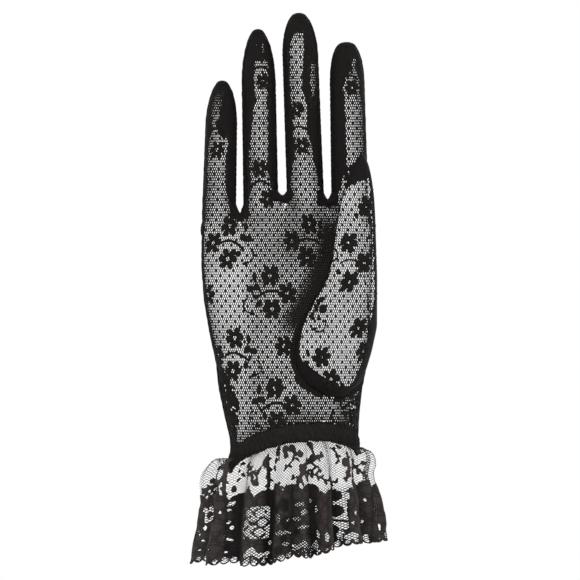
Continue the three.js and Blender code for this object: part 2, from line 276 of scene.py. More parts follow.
def joinStrands(parts):      # points, edges and thicknesses of several nets and cords as one
    points, edges, thick = zip(*parts)
    starts = np.cumsum([0] + [len(some) for some in points])
    moved = [some + start for some, start in zip(edges, starts)]
    return np.concatenate(points), np.concatenate(moved), np.concatenate(thick)


def cordEdges(count):      # one line through all the points
    run = np.arange(count - 1)
    return np.stack([run, run + 1], axis=1)


def flipped(faces):
    return [tuple(face)[::-1] for face in faces]


# The worn shape: the same sections as the frame's panels
handRows = np.array([      # z, x, half width, half depth, power
    (-14.0, -0.1, 29.0, 20.0, 2.1), (7.0, 0.1, 29.2, 19.6, 2.1), (18.7, -1.0, 30.8, 18.0, 2.2),
    (30.6, -1.7, 32.8, 16.3, 2.3), (42.4, -1.1, 34.5, 14.9, 2.4), (54.3, -1.7, 36.6, 14.0, 2.5),
    (72.1, -2.8, 38.6, 13.3, 2.6), (88.0, -3.2, 39.3, 11.8, 2.6), (100.0, -3.2, 39.2, 9.8, 2.6),
    (108.4, -3.3, 38.6, 8.3, 2.5), (112.5, 3.7, 30.7, 7.4, 2.4), (116.3, 4.7, 25.1, 6.4, 2.4),
    (119.0, 2.8, 16.7, 5.2, 2.4), (120.9, 2.3, 10.7, 3.6, 2.4)])
fingerSizes = ("baseX", "tipX", "baseZ", "tipZ", "base", "end", "dome", "power")
fingerRows = [dict(zip(fingerSizes, row)) for row in (
    (-35.2, -33.3, 100.0, 174.1, 7.8, 7.1, 21.0, 1.9), (-15.2, -16.8, 104.0, 198.0, 7.9, 7.6, 25.0, 1.9),
    (5.9, 2.2, 104.0, 205.5, 8.4, 8.0, 20.0, 2.0), (26.4, 24.3, 102.0, 192.0, 8.5, 7.8, 21.0, 2.4))]
tipHeights = np.array([row["tipZ"] for row in fingerRows])
rootRows = np.array([      # height above a finger's base, and shares of its width and depth there
    (0.0, 0.86, 0.84), (12.0, 1.0, 1.0), (24.0, 1.0, 0.97), (40.0, 1.0, 0.93)])
crotches = [(-24.9, 112.5), (-4.2, 120.9), (16.0, 119.0)]      # x and z of the bottoms of the finger gaps
thumbRows = np.array([     # z, x, y, half width, half depth
    (27.0, 18.6, -12.2, 3.7, 4.0), (32.1, 17.4, -11.2, 12.3, 9.4), (38.5, 17.0, -10.6, 16.2, 12.2),
    (48.0, 17.7, -11.0, 18.4, 14.2), (59.5, 20.7, -12.6, 17.9, 15.0), (73.5, 24.4, -15.5, 14.2, 14.0),
    (83.2, 27.1, -18.0, 11.5, 12.6), (95.0, 28.1, -21.4, 10.1, 10.9), (110.7, 28.8, -23.6, 8.9, 9.4),
    (119.5, 29.6, -23.8, 7.6, 8.5), (127.5, 30.3, -23.5, 5.9, 7.1), (133.5, 30.8, -23.0, 4.2, 5.3),
    (137.5, 31.3, -22.4, 2.3, 3.1), (139.3, 31.5, -22.1, 0.5, 0.8)])


def seamStarts(outer):      # heights of the seams' starts beside the fingers, with outer for the hand's sides
    return np.array([outer] + [height for _, height in crotches] + [outer])


def curl(z):
    rise = np.maximum(0.0, z - glove["knuckle"]) / (glove["curlTop"] - glove["knuckle"])
    return -glove["curlReach"] * rise * rise


class Tube:      # a form made of rounded sections, read by height and by share of its half girth
    def __init__(self, z, x, y, width, depth, power):
        self.z = z
        self.columns = np.stack([x, y, width, depth, power], axis=1)
        self.shares = np.linspace(0.0, 1.0, 49)
        turn = np.linspace(0.0, math.pi / 2, 361)
        across = np.sin(turn)[None, :] ** (2.0 / power[:, None]) * width[:, None]
        through = np.cos(turn)[None, :] ** (2.0 / power[:, None]) * depth[:, None]
        step = np.hypot(np.diff(across, axis=1), np.diff(through, axis=1))
        run = np.concatenate([np.zeros((len(z), 1)), np.cumsum(step, axis=1)], axis=1)
        self.length = run[:, -1]
        self.across, self.through = (
            np.array([np.interp(self.shares * way[-1], way, line) for way, line in zip(run, lines)])
            for lines in (across, through))

    def at(self, z):
        return [np.interp(z, self.z, column) for column in self.columns.T]

    def girth(self, z):
        return np.interp(z, self.z, self.length)

    def read(self, table, share, z):
        row = np.clip((z - self.z[0]) / (self.z[1] - self.z[0]), 0, len(self.z) - 1.001)
        column = np.clip(share, 0.0, 1.0) * (len(self.shares) - 1.001)
        r = row.astype(int)
        c = column.astype(int)
        fr = row - r
        fc = column - c
        low = table[r, c] * (1 - fc) + table[r, c + 1] * fc
        high = table[r + 1, c] * (1 - fc) + table[r + 1, c + 1] * fc
        return low * (1 - fr) + high * fr

    def point(self, share, z, side):
        x, y = self.at(z)[:2]
        far = np.abs(share)
        return x + np.sign(share) * self.read(self.across, far, z), y + side * self.read(self.through, far, z)

    def outside(self, x, y, z):      # about how far a point lies outside
        cx, cy, width, depth, power = self.at(z)
        dx = np.abs(x - cx)
        dy = np.abs(y - cy)
        size = ((dx / width) ** power + (dy / depth) ** power + 1e-9) ** (1.0 / power)
        return np.hypot(dx, dy) * (1.0 - 1.0 / size) + (size < 0.05) * -depth


def softened(values, width):
    reach = np.arange(-3 * width, 3 * width + 1)
    weight = np.exp(-0.5 * (reach / width) ** 2)
    padded = np.pad(values, 3 * width, mode="edge")
    return np.convolve(padded, weight / weight.sum(), mode="valid")


def tableTube(rows, low, high, hasDepthPlace):
    z = np.arange(low, high + 0.01, 0.5)
    read = [softened(np.interp(z, rows[:, 0], rows[:, c]), 3) for c in range(1, rows.shape[1])]
    if hasDepthPlace:
        return Tube(z, read[0], read[1], read[2], read[3], np.full(len(z), 2.0))
    return Tube(z, read[0], np.zeros(len(z)), read[1], read[2], read[3])


def fingerTube(row):
    z = np.arange(row["baseZ"], row["tipZ"] + 0.01, 0.5)
    domeZ = row["tipZ"] - row["dome"]
    half = row["base"] + (row["end"] - row["base"]) * np.clip((z - row["baseZ"]) / (domeZ - row["baseZ"]), 0, 1)
    t = np.clip((z - domeZ) / row["dome"], 0.0, 0.9995)
    half = np.maximum(0.3, half * (1 - t ** row["power"]) ** (1 / row["power"]))
    x = row["baseX"] + (row["tipX"] - row["baseX"]) * (z - row["baseZ"]) / (row["tipZ"] - row["baseZ"])
    width = half * np.interp(z - row["baseZ"], rootRows[:, 0], rootRows[:, 1])
    depth = half * np.interp(z - row["baseZ"], rootRows[:, 0], rootRows[:, 2])
    return Tube(z, x, curl(z), width, depth, np.full(len(z), 2.2))


palm = tableTube(handRows, -20.0, 121.0, False)
fingers = [fingerTube(row) for row in fingerRows]
thumb = tableTube(thumbRows, glove["thumbLow"], glove["thumbTop"], True)


def handOutside(x, y, z):      # about how far a point lies outside the palm and the fingers together
    shapes = [palm.outside(x, y, z) + glove["farOff"] * smooth(118.0, 123.0, z)]
    for tube, row in zip(fingers, fingerRows):
        far = glove["farOff"] * (1.0 - smooth(row["baseZ"] - 3.0, row["baseZ"] + 3.0, z))
        shapes.append(tube.outside(x, y, z) + far + glove["farOff"] * smooth(row["tipZ"], row["tipZ"] + 1.0, z))
    stack = np.stack(shapes)
    k = glove["soften"]
    return -k * np.log(np.sum(np.exp(-np.clip(stack, -60.0, 60.0) / k), axis=0))


def gradient(field, x, y, z, step=0.05):
    return np.stack([(field(x + step, y, z) - field(x - step, y, z)) / (2 * step),
                     (field(x, y + step, z) - field(x, y - step, z)) / (2 * step),
                     (field(x, y, z + step) - field(x, y, z - step)) / (2 * step)])


def raised(field, x, y, z, h):      # points moved by h away from the form that the field describes
    normal = gradient(field, x, y, z)
    normal /= np.maximum(1e-6, np.linalg.norm(normal, axis=0))
    return np.stack([x, y, z]).T + normal.T * (np.zeros(len(x)) + h)[:, None]


def linedUp(x, z, depth, newDepth):      # x and z that keep a point's place in the picture at another depth
    scale = (view["distance"] + newDepth) / (view["distance"] + depth)
    return view["middleX"] + (x - view["middleX"]) * scale, view["middleZ"] + (z - view["middleZ"]) * scale


# A chart of the front of the hand: u runs across and v up, both in millimetres of cloth
chartRows = {"z": np.arange(-20.0, 206.0, 1.0), "fingerKnots": np.array([-48.7, -24.9, -0.6, 24.0, 48.7])}


def chartKnots():
    z = chartRows["z"]
    arcs = np.zeros((len(z), 5))
    low = np.minimum(z, glove["rootTop"])
    girth = palm.girth(low)
    arcs[:, 0] = -girth
    arcs[:, 4] = girth
    share = np.linspace(-1.0, 1.0, 161)
    for i, height in enumerate(low):
        x, _ = palm.point(share, np.full(len(share), height), -1)
        for k, (crotchX, _) in enumerate(crotches):
            arcs[i, k + 1] = np.interp(crotchX, x, share) * girth[i]
    blend = smooth(86.0, 112.0, z)[:, None]
    return arcs, arcs * (1 - blend) + chartRows["fingerKnots"][None, :] * blend


palmKnots, clothKnots = chartKnots()


def handReach(v):      # half the width of the front's cloth at a height
    return np.interp(v, chartRows["z"], clothKnots[:, 4])


def fingerGirth(k, v):      # half the girth of each point's own finger
    girth = np.zeros(len(v))
    for i, tube in enumerate(fingers):
        girth = np.where(k == i, tube.girth(v), girth)
    return girth


def whichFinger(u, v):      # finger, share from -1 to 1 across it, and the arc on the palm
    z = chartRows["z"]
    knots = np.stack([np.interp(v, z, clothKnots[:, k]) for k in range(5)])
    arcs = np.stack([np.interp(v, z, palmKnots[:, k]) for k in range(5)])
    k = np.clip(np.sum(u[None, :] >= knots[1:4], axis=0), 0, 3)
    n = np.arange(len(u))
    low, high = knots[k, n], knots[k + 1, n]
    share = (u - low) / (high - low) * 2.0 - 1.0
    arc = arcs[k, n] + (arcs[k + 1, n] - arcs[k, n]) * (share + 1.0) / 2.0
    return k, share, arc


def handPoint(u, v, h=0.0):      # points of the front of the hand, lifted by h
    u = np.asarray(u, dtype=float)
    v = np.asarray(v, dtype=float)
    k, share, arc = whichFinger(u, v)
    low = np.minimum(v, glove["rootTop"])
    x, y = palm.point(arc / palm.girth(low), low, -1)
    starts = seamStarts(glove["knuckle"])
    seamHeight = starts[k] + (starts[k + 1] - starts[k]) * np.clip((share + 1) / 2, 0, 1)
    weight = smooth(-8.0, 4.0, v - seamHeight)
    fx = np.zeros(len(u))
    fy = np.zeros(len(u))
    for i, tube in enumerate(fingers):
        mine = k == i
        if mine.any():
            fx[mine], fy[mine] = tube.point(np.clip(share[mine], -1, 1), v[mine], -1)
    x = x * (1 - weight) + fx * weight
    y = y * (1 - weight) + fy * weight
    # the cloth spans the little finger's root, and elsewhere it is brought onto the form
    loose = (k == 0) * smooth(0.9, 0.2, share) * np.exp(-((v - glove["knuckle"]) / 6.0) ** 2)
    for _ in range(5):
        slope = gradient(handOutside, x, y, v)[:2]
        steepness = np.maximum(0.25, np.sum(slope ** 2, axis=0))
        move = np.clip(handOutside(x, y, v), -1.5, 1.5) / steepness * (1 - 0.9 * loose)
        x = x - move * slope[0]
        y = y - move * slope[1]
    return raised(handOutside, x, y, v, h)


def behind(points):      # the same cloth on the other side, lined up with the front for the camera
    x, y, z = points.T
    mirrored = 2 * curl(z) - y
    x, z = linedUp(x, z, y, mirrored)
    return np.stack([x, mirrored, z]).T


def thumbPoint(u, v, h=0.0, side=-1):      # the same for the thumb, whose chart starts at its own middle
    u = np.asarray(u, dtype=float)
    v = np.asarray(v, dtype=float)
    x, y = thumb.point(np.clip(u / thumb.girth(v), -1, 1), v, side)
    return raised(thumb.outside, x, y, v, h)


def seenAt(x, z, u, place):      # which of the places u the camera sees at x
    return float(u[np.argmin(np.abs(place(u, np.full(len(u), z))[:, 0] - x))]), z


def handPlan(planX, planY):      # chart place of a point that the camera sees at a place of the plan
    x, z = fromPlan(planX, planY)
    return seenAt(x, z, np.linspace(-49.0, 49.0, 393), handPoint)


def thumbPlan(planX, planY):
    x, z = fromPlan(planX, planY)
    return seenAt(x, z, np.linspace(-1.0, 1.0, 161) * thumb.girth(z), thumbPoint)


band = {
    "halfWidth": 29.2, "halfDepth": 19.6, "height": 8.4, "thick": 2.3, "columns": 840, "pleats": 0.75,
    "slant": 0.14,                       # the thumb's side lies higher by this share of the half width
    "rise": 10.0, "risePower": 1.2,      # how far the front and the back rise above the sides, and how broadly
}


def bandHeight(angle):
    slanted = band["slant"] * band["halfWidth"] * np.sin(angle)
    return slanted + band["rise"] * np.abs(np.cos(angle)) ** band["risePower"]


def wristLine(x):      # height of the band's middle above a place across the wrist
    return bandHeight(np.arcsin(np.clip(x / band["halfWidth"], -1, 1)))


# Where the cloth of the hand is dense: seams, turnings and fingertips
lightRows = [      # for each finger: plan height, and where its light net starts and ends
    [(91.4, 218.6, 223.6), (102.9, 210.7, 220.7), (117.0, 211.4, 218.6), (125.7, 212.9, 216.4),
     (134.0, 211.4, 217.0), (141.4, 208.0, 226.0), (162.9, 207.0, 225.7), (184.0, 207.5, 225.7),
     (198.6, 204.5, 227.9), (208.6, 202.5, 231.0)],
    [(61.4, 256.0, 267.0), (67.0, 254.0, 268.0), (84.3, 254.0, 268.5), (100.0, 257.0, 268.0),
     (108.6, 253.6, 268.0), (134.3, 251.4, 268.6), (155.7, 248.6, 268.0), (170.0, 249.3, 267.0),
     (180.0, 250.0, 270.0), (191.4, 250.5, 273.0), (201.4, 248.0, 276.0), (212.0, 243.0, 282.0)],
    [(32.9, 295.7, 302.0), (41.4, 290.0, 303.6), (62.9, 289.3, 302.9), (84.3, 289.3, 302.4),
     (97.0, 290.7, 304.3),
     (112.9, 292.0, 308.0), (125.7, 292.9, 306.4), (134.3, 293.6, 308.6), (145.7, 294.3, 311.4),
     (155.7, 295.0, 313.6), (170.0, 292.0, 316.4), (184.3, 290.0, 318.6), (195.7, 285.7, 322.9)],
    [(72.0, 350.0, 357.0), (77.0, 346.0, 358.6), (90.0, 343.6, 360.0), (108.6, 345.0, 363.0),
     (134.3, 345.7, 364.3), (154.0, 347.0, 364.3), (170.0, 345.0, 366.5), (184.0, 341.4, 370.5),
     (195.0, 337.0, 372.5)],
]
lightSpots = [      # plan place and half sizes of light spots inside the dense cloth
    (313.4, 79.0, 3.2, 18.0), (354.0, 65.0, 2.2, 6.5), (227.0, 145.0, 1.6, 8.0), (256.0, 45.5, 1.0, 1.2),
    (263.0, 49.0, 0.9, 5.0)]
turnings = {
    "rough": 0.55,           # how uneven the inner edge of a turning is
    "outer": [(-20, 4.5), (2, 7.0), (8, 9.0), (16, 13.0), (25, 15.5), (32, 13.5), (38, 10.0), (44, 5.5),
              (52, 1.8),
              (110, 1.5)],      # height and width at the little finger's side of the hand
    "thumbSide": [(-20, 3.5), (8, 11.0), (25, 13.0), (34, 5.0), (46, -2.0), (126, -2.0), (134, 1.5)],
    "thumbHole": 2.4,
    "thumbBack": 0.7,        # the seam's width on the far side of the thumb
    "tucks": 4.9,            # how far the cloth gathered into the band reaches above the band's middle
    "wristTop": 46.0,        # below this the wide turnings have small open places
    "opened": 0.3,           # how rare those are at the hand's left
    "openedRight": 0.05,     # and at its right
    "crotch": 2.0,
    "thickness": 0.32,
    "lift": -0.2,
    "cap": 2.6,
}


def fromTable(rows, v):
    return np.interp(v, *np.array(rows).T)


def lightEdges(finger, v):      # the light net's edges as shares of the finger's width, and its top
    rows = np.array(lightRows[finger])
    z = fromPlan(0.0, rows[:, 0])[1][::-1]
    tube = fingers[finger]
    grid = np.linspace(-1.0, 1.0, 81)
    edges = []
    for column in (1, 2):
        shares = []
        for height, planX in zip(np.maximum(z, tube.z[0] + 0.5), rows[::-1, column]):
            x, _ = tube.point(grid, np.full(len(grid), height), -1)
            shares.append(np.interp(fromPlan(planX, 0.0)[0], x, grid))
        edges.append(np.interp(v, z, shares))
    return edges[0], edges[1], z[-1]


def handDense(u, v):      # above nought where the front's cloth is dense, about in millimetres
    k, share, _ = whichFinger(u, v)
    points = handPoint(u, v)
    reach = handReach(v)
    outer = fromTable(turnings["outer"], v) - (u + reach)
    inner = fromTable(turnings["thumbSide"], v) - (reach - u)
    value = np.maximum(outer, inner)
    byWrist = (reach - np.abs(u) > 1.6) & (v < turnings["wristTop"])
    opened = np.where(u > 0, turnings["openedRight"], turnings["opened"])
    value = np.where(byWrist, np.minimum(value, 3.0 * (opened - ripple(12, u, v, 2.0))), value)
    tucks = turnings["tucks"] + 1.7 * ripple(15, u, v * 0.35, 2.6) + 1.2 * ripple(16, u, v * 0.0, 11.0)
    value = np.maximum(value, tucks - (v - wristLine(points[:, 0])))
    starts = seamStarts(glove["knuckle"])
    for i, row in enumerate(fingerRows):
        left, right, top = lightEdges(i, v)
        half = fingers[i].girth(np.clip(v, row["baseZ"], row["tipZ"] - 1))
        here = v - top
        for past, start in ((left - share, starts[i]), (share - right, starts[i + 1])):
            belowSeam = glove["farOff"] * (1 - smooth(start - 2.0, start + 3.0, v))
            here = np.maximum(here, past * half - belowSeam)
        value = np.where(k == i, np.maximum(value, here), value)
    for crotchX, crotchZ in crotches:
        gap = np.hypot(points[:, 0] - crotchX, (v - crotchZ) * 0.8)
        value = np.maximum(value, turnings["crotch"] + 1.2 - gap)
    value = value + ripple(3, u, v, 5.0) * turnings["rough"]
    pitch = glove["pitch"]
    for planX, planY, wide, tall in lightSpots:
        x, z = fromPlan(planX, planY)
        inside = np.hypot((points[:, 0] - x) / (wide * pitch), (v - z) / (tall * pitch))
        value = np.minimum(value, (inside - 1.0) * 1.5 + ripple(8, u, v, 3.0) * 0.5)
    return value


def thumbDense(u, v, side=-1):      # the same for the thumb: its two sides, its seam on the palm and its tip
    points = thumbPoint(u, v, side=side)
    cx, _, width, _, _ = thumb.at(v)
    right = 1.1 + 2.2 * smooth(74.0, 58.0, v) - (cx + width - points[:, 0])
    left = 2.0 - (thumb.girth(v) + u)
    seamWide = 3.0 + 4.6 * (1 - smooth(34.0, 46.0, v))
    seamWide = seamWide + 1.2 * smooth(0.0, 12.0, -u) * (1 - smooth(60.0, 80.0, v))
    if side > 0:
        seamWide = turnings["thumbBack"]
    seam = seamWide - handOutside(*points.T)
    tip = v - 126.5 - 0.35 * u + 1.6 * ripple(14, u, v, 5.0)
    tip = np.minimum(tip, 3.0 * (0.55 - ripple(13, u, v, 2.2)))
    value = np.maximum(np.maximum(right, left), tip)
    value = np.maximum(value, seam - glove["farOff"] * smooth(84.0, 92.0, v))
    return value + ripple(5, u, v, 5.0) * turnings["rough"]


def fill(us, vs, dense, place, thickness, lift):      # a closed sheet wherever the cloth is dense
    U, V = np.meshgrid(us, vs)
    value = dense(U.ravel(), V.ravel()).reshape(U.shape)
    moved = [U.copy(), V.copy()]
    best = np.full(U.shape, 0.5)
    # a corner less than half a cell from the edge of the dense cloth moves onto it
    for dr, dc in ((0, 1), (0, -1), (1, 0), (-1, 0)):
        near = np.roll(value, (-dr, -dc), (0, 1))
        nearU = np.roll(U, (-dr, -dc), (0, 1))
        nearV = np.roll(V, (-dr, -dc), (0, 1))
        crossing = (value * near < 0)
        if dr:
            crossing[-1 if dr > 0 else 0, :] = False
        else:
            crossing[:, -1 if dc > 0 else 0] = False
        t = np.where(crossing, value / np.where(crossing, value - near, 1.0), 1.0)
        take = t <= best
        moved[0] = np.where(take, U + (nearU - U) * t, moved[0])
        moved[1] = np.where(take, V + (nearV - V) * t, moved[1])
        best = np.where(take, t, best)
    snapped = best < 0.5
    level = np.where(snapped, 0.0, value)
    index = np.arange(U.size).reshape(U.shape)
    corners = np.stack([index[:-1, :-1], index[:-1, 1:], index[1:, 1:], index[1:, :-1]], axis=-1).reshape(-1, 4)
    inside = level.ravel()[corners] >= 0.0
    some = (level.ravel()[corners] > 0.0).any(axis=1)
    quads = corners[inside.all(axis=1) & some]
    triangles = []
    for missing in range(4):
        keep = [i for i in range(4) if i != missing]
        rows = (inside.sum(axis=1) == 3) & ~inside[:, missing] & some
        triangles.append(corners[rows][:, keep])
    u, v = (part.ravel() for part in moved)
    return closeSheet(u, v, quads, np.concatenate(triangles), place, thickness, lift)


def closeSheet(u, v, quads, triangles, place, thickness, lift):      # two faces and a rim all round
    used = np.unique(np.concatenate([quads.ravel(), triangles.ravel()]))
    renumber = np.full(len(u), -1)
    renumber[used] = np.arange(len(used))
    quads, triangles = renumber[quads], renumber[triangles]
    count = len(used)
    outer = place(u[used], v[used], lift + thickness / 2)
    inner = place(u[used], v[used], lift - thickness / 2)
    edges = {}
    for polygons in (quads, triangles):
        size = polygons.shape[1]
        for i in range(size):
            for a, b in zip(polygons[:, i].tolist(), polygons[:, (i + 1) % size].tolist()):
                if (b, a) in edges:
                    del edges[(b, a)]
                else:
                    edges[(a, b)] = True
    faces = quads.tolist() + triangles.tolist()
    faces += (quads[:, ::-1] + count).tolist() + (triangles[:, ::-1] + count).tolist()
    faces += [(b, a, a + count, b + count) for a, b in edges]
    uv = np.stack([u[used], v[used]], axis=1)
    return np.concatenate([outer, inner]), faces, np.concatenate([uv, uv])


def join(parts):
    points, faces, uvs, start = [], [], [], 0
    for part in parts:
        points.append(part[0])
        faces += [tuple(i + start for i in face) for face in part[1]]
        uvs.append(part[2] if len(part) > 2 else np.zeros((len(part[0]), 2)))
        start += len(part[0])
    return np.concatenate(points), faces, np.concatenate(uvs)


def turned(part):      # mirrored to the back, so its faces are turned round too
    return behind(part[0]), flipped(part[1]), part[2]


# Net of the hand
net = {
    "cellWide": 1.03, "cellHigh": 1.18, "wall": 0.08,
    "radius": 0.265, "dotRadius": 0.42, "dotEvery": 4, "dotRows": 2,
    "thumbRadius": 0.215, "thumbUnder": 0.12, "thumbDot": 0.38, "thumbDotUnder": 0.2,
    "denserNet": 1.6,            # how much thicker, and so darker, the net is beside the thumb, standing in for the shade there
    "tightLow": 0.35,        # and by the wrist
    "pale": 0.32,            # the net is finer by this share near the palm's left edge
    "underThumb": 0.6,       # and comes down to this share where the thumb lies over it
}


def hexNet(lowU, highU, lowV, highV, seed):
    wide, high, wall = net["cellWide"], net["cellHigh"], net["wall"]
    columns = int((highU - lowU) / wide) + 2
    rows = int((highV - lowV) / high) + 3
    j, i = np.mgrid[0:rows, 0:columns]
    cx = lowU + i * wide + (j % 2) * wide / 2
    cy = lowV + j * high
    top = np.stack([cx, cy + high - wall], axis=-1).reshape(-1, 2)
    bottom = np.stack([cx, cy - high + wall], axis=-1).reshape(-1, 2)
    count = rows * columns
    number = (j * columns + i)
    edges = []
    for dr, shift in ((1, 0), (1, 1), (2, 0)):
        dc = np.where(j % 2 == 0, shift - 1, shift) if dr == 1 else np.zeros_like(i)
        jj, ii = j + dr, i + dc
        good = (jj < rows) & (ii >= 0) & (ii < columns)
        edges.append(np.stack([number[good], count + (jj * columns + ii)[good]], axis=1))
    points = np.concatenate([top, bottom])
    rng = np.random.default_rng(seed)
    points = points + rng.normal(0.0, 0.035, points.shape)
    every, rowStep = net["dotEvery"], net["dotRows"]
    dot = np.flatnonzero((j % rowStep == 0) & ((i + (j // rowStep % 2) * every // 2) % every == 0))
    middles = 2 * count + np.arange(len(dot))      # a dot hangs between the two ends of its cell
    points = np.concatenate([points, (points[dot] + points[count + dot]) / 2])
    edges += [np.stack([dot, middles], axis=1), np.stack([middles, count + dot], axis=1)]
    return points, np.concatenate(edges), np.arange(len(points)) >= 2 * count


def keepNet(points, edges, dot, keep):
    edges = edges[keep[edges].all(axis=1)]
    used = np.unique(edges)
    renumber = np.full(len(points), -1)
    renumber[used] = np.arange(len(used))
    return points[used], renumber[edges], dot[used]


def lattice():      # one net for all the layers, so that their cells lie behind each other
    flat, edges, dot = hexNet(-50.0, 50.0, -4.0, 204.0, 21)
    u, v = flat.T
    return np.stack([u + 0.5 * ripple(31, u, v, 60.0), v], axis=1), edges, dot


def netThick(u, v, points, dot):
    shadow = thumbShadow(points)
    x = points[:, 0]
    # stand-in for shade: the net beside the thumb is made thicker, and so darker, where shade falls; by the
    # wrist it is thicker where the cloth gathers
    beside = smooth(15.0, 1.0, np.abs(thumb.outside(*points.T)))
    denserNet = beside * smooth(52.0, 68.0, v) * smooth(118.0, 104.0, v) * (x < 24)
    denserNet = net["denserNet"] * denserNet * (1 - shadow) + net["tightLow"] * smooth(12.0, 5.0, v - wristLine(x))
    pale = net["pale"] * smooth(-16.0, -26.0, x) * smooth(110.0, 100.0, v)
    thick = np.where(dot, net["dotRadius"], net["radius"]) * (1 + 0.12 * ripple(9, u, v, 30.0))
    thick = np.where(dot, thick, thick * (1 + denserNet) * (1 - pale))
    thick = thick * (1 - 0.55 * smooth(7.0, 3.0, handReach(v) - u) * shadow)
    return thick * (1 - (1 - net["underThumb"]) * shadow)


def handNet(thumbHole):      # the palm's net has a hole where the thumb is set in
    flat, edges, dot = lattice()
    flat, edges, dot = keepNet(flat, edges, dot, np.abs(flat[:, 0]) < handReach(flat[:, 1]) - 0.15)
    u, v = flat.T
    points = handPoint(u, v)
    k, share, _ = whichFinger(u, v)
    keep = v < tipHeights[k] - 1.5
    starts = seamStarts(0.0)
    limit = 1.0 - 3.0 / np.maximum(fingerGirth(k, v), 3.5)
    for direction in (-1, 1):
        seam = starts[k + (direction > 0)]
        keep &= ~((seam > 0) & (v > seam) & (share * direction > limit))
    keep &= v > wristLine(points[:, 0]) + 1.5
    if thumbHole:
        keep &= ~((thumb.outside(*points.T) < -0.4) & (v > glove["thumbLow"]))
    keep &= handDense(u, v) < 1.2
    flat, edges, dot = keepNet(flat, edges, dot, keep)
    u, v = flat.T
    points = handPoint(u, v)
    return points, edges, netThick(u, v, points, dot)


def thumbShadow(points):      # 1 where the thumb lies over the palm
    x, _, z = points.T
    cx, _, width, _, _ = thumb.at(z)
    return smooth(0.5, -1.5, np.abs(x - cx) - width) * smooth(29.0, 32.0, z) * smooth(139.0, 136.0, z)


def backNet():
    points, edges, thick = handNet(False)
    return behind(points), edges, thick


addStrands("palm_net", *handNet(True), finishes["net_thread"], "lace_net", ["palm_panel"])
addStrands("back_net", *backNet(), finishes["net_thread"], "lace_net", ["back_panel"])


# Seams and turnings of the hand
handGrid = (np.arange(-49.6, 49.61, 0.62), np.arange(-4.0, 205.0, 0.8))


def handCloth(front):
    def dense(u, v):
        points = handPoint(u, v)
        k, share, _ = whichFinger(u, v)
        value = np.minimum(handDense(u, v), handReach(v) - np.abs(u))
        value = np.minimum(value, (tipHeights[k] - v) * 2.0)
        starts = seamStarts(0.0)
        girth = fingerGirth(k, v)
        for direction in (-1, 1):
            seam = starts[k + (direction > 0)]
            over = (share * direction - 1.0) * girth + 0.75
            value = np.where((seam > 0) & (v > seam - 0.5), np.minimum(value, -over), value)
        value = np.minimum(value, v - wristLine(points[:, 0]) - 1.5)
        if front:
            hole = np.where(v > glove["thumbLow"], thumb.outside(*points.T) + 0.3, 9.0)
            wide = turnings["thumbHole"] + 2.2 * smooth(38.0, 33.0, v) + 0.5 * ripple(4, u, v, 6.0)
            hidden = 8.0 * smooth(24.0, 28.0, points[:, 0]) * smooth(44.0, 52.0, v)
            value = np.minimum(np.maximum(value, wide - hole - 8.0 * smooth(78.0, 86.0, v) - hidden), hole)
        return value
    return fill(*handGrid, dense, handPoint, turnings["thickness"], turnings["lift"])


def tipCap(tube, tipZ, sides=20, rings=7):      # gathers the cloth at a fingertip
    low = tipZ - turnings["cap"]
    cx, cy, width, depth, _ = (float(part[0]) for part in tube.at(np.array([low])))
    around = np.linspace(0, 2 * math.pi, sides + 1)[:-1]
    points = [(cx, cy, low - 0.4)]
    for r in range(rings):
        rise = 0.5 * math.pi * r / rings
        points += [(cx + width * math.cos(rise) * math.cos(turn), cy + depth * math.cos(rise) * math.sin(turn),
                    low + turnings["cap"] * math.sin(rise)) for turn in around]
    points.append((cx, cy, tipZ))
    number = 1 + np.arange(rings * sides).reshape(rings, sides)
    after = np.roll(number, -1, 1)
    faces = [(0, after[0, i], number[0, i]) for i in range(sides)]
    faces += [(number[r, i], after[r, i], after[r + 1, i], number[r + 1, i])
              for r in range(rings - 1) for i in range(sides)]
    faces += [(number[-1, i], after[-1, i], len(points) - 1) for i in range(sides)]
    return np.array(points), [tuple(int(i) for i in face) for face in faces], np.zeros((len(points), 2))


def sideWall(k, side, w, z, h=0.0):      # w runs through the hand, from the middle of the finger's side
    cx, cy, width, depth, power = fingers[k].at(z)
    deep = np.clip(np.abs(w) / depth, 0.0, 0.999)
    return np.stack([cx + side * (width * (1 - deep ** power) ** (1 / power) + h), cy + w, z]).T


def web(gap, rise, power, columns=13, rows=7):      # closes the bottom of the gap between two fingers
    low = crotches[gap][1]
    share, row = np.meshgrid(np.linspace(-1.0, 1.0, columns), np.linspace(0.0, 1.0, rows))
    share, row = share.ravel(), row.ravel()
    depth = min(float(fingers[k].at(np.array([low]))[3][0]) for k in (gap, gap + 1))
    w = 0.4 - row * (0.4 + 0.75 * depth)
    z = low + rise * np.abs(share) ** power - 1.2 * row ** 3
    left, right = sideWall(gap, 1, w, z, -0.4), sideWall(gap + 1, -1, w, z, -0.4)
    top = left + (right - left) * ((share + 1) / 2)[:, None]
    bottom = top * [1, 1, 0] + [0, 0, low - 3.0]
    number = np.arange(rows * columns).reshape(rows, columns)
    a, b = number[:-1, :-1].ravel(), number[:-1, 1:].ravel()
    c, d = number[1:, 1:].ravel(), number[1:, :-1].ravel()
    count = rows * columns
    faces = list(zip(a, d, c, b)) + list(zip(a + count, b + count, c + count, d + count))
    loop = list(number[-1, :-1]) + list(number[:0:-1, -1]) + list(number[0, :0:-1]) + list(number[:-1, 0])
    faces += [(p + count, q + count, q, p) for p, q in zip(loop, loop[1:] + loop[:1])]
    faces = [tuple(int(i) for i in face) for face in faces]
    return np.concatenate([top, bottom]), faces, np.zeros((2 * count, 2))


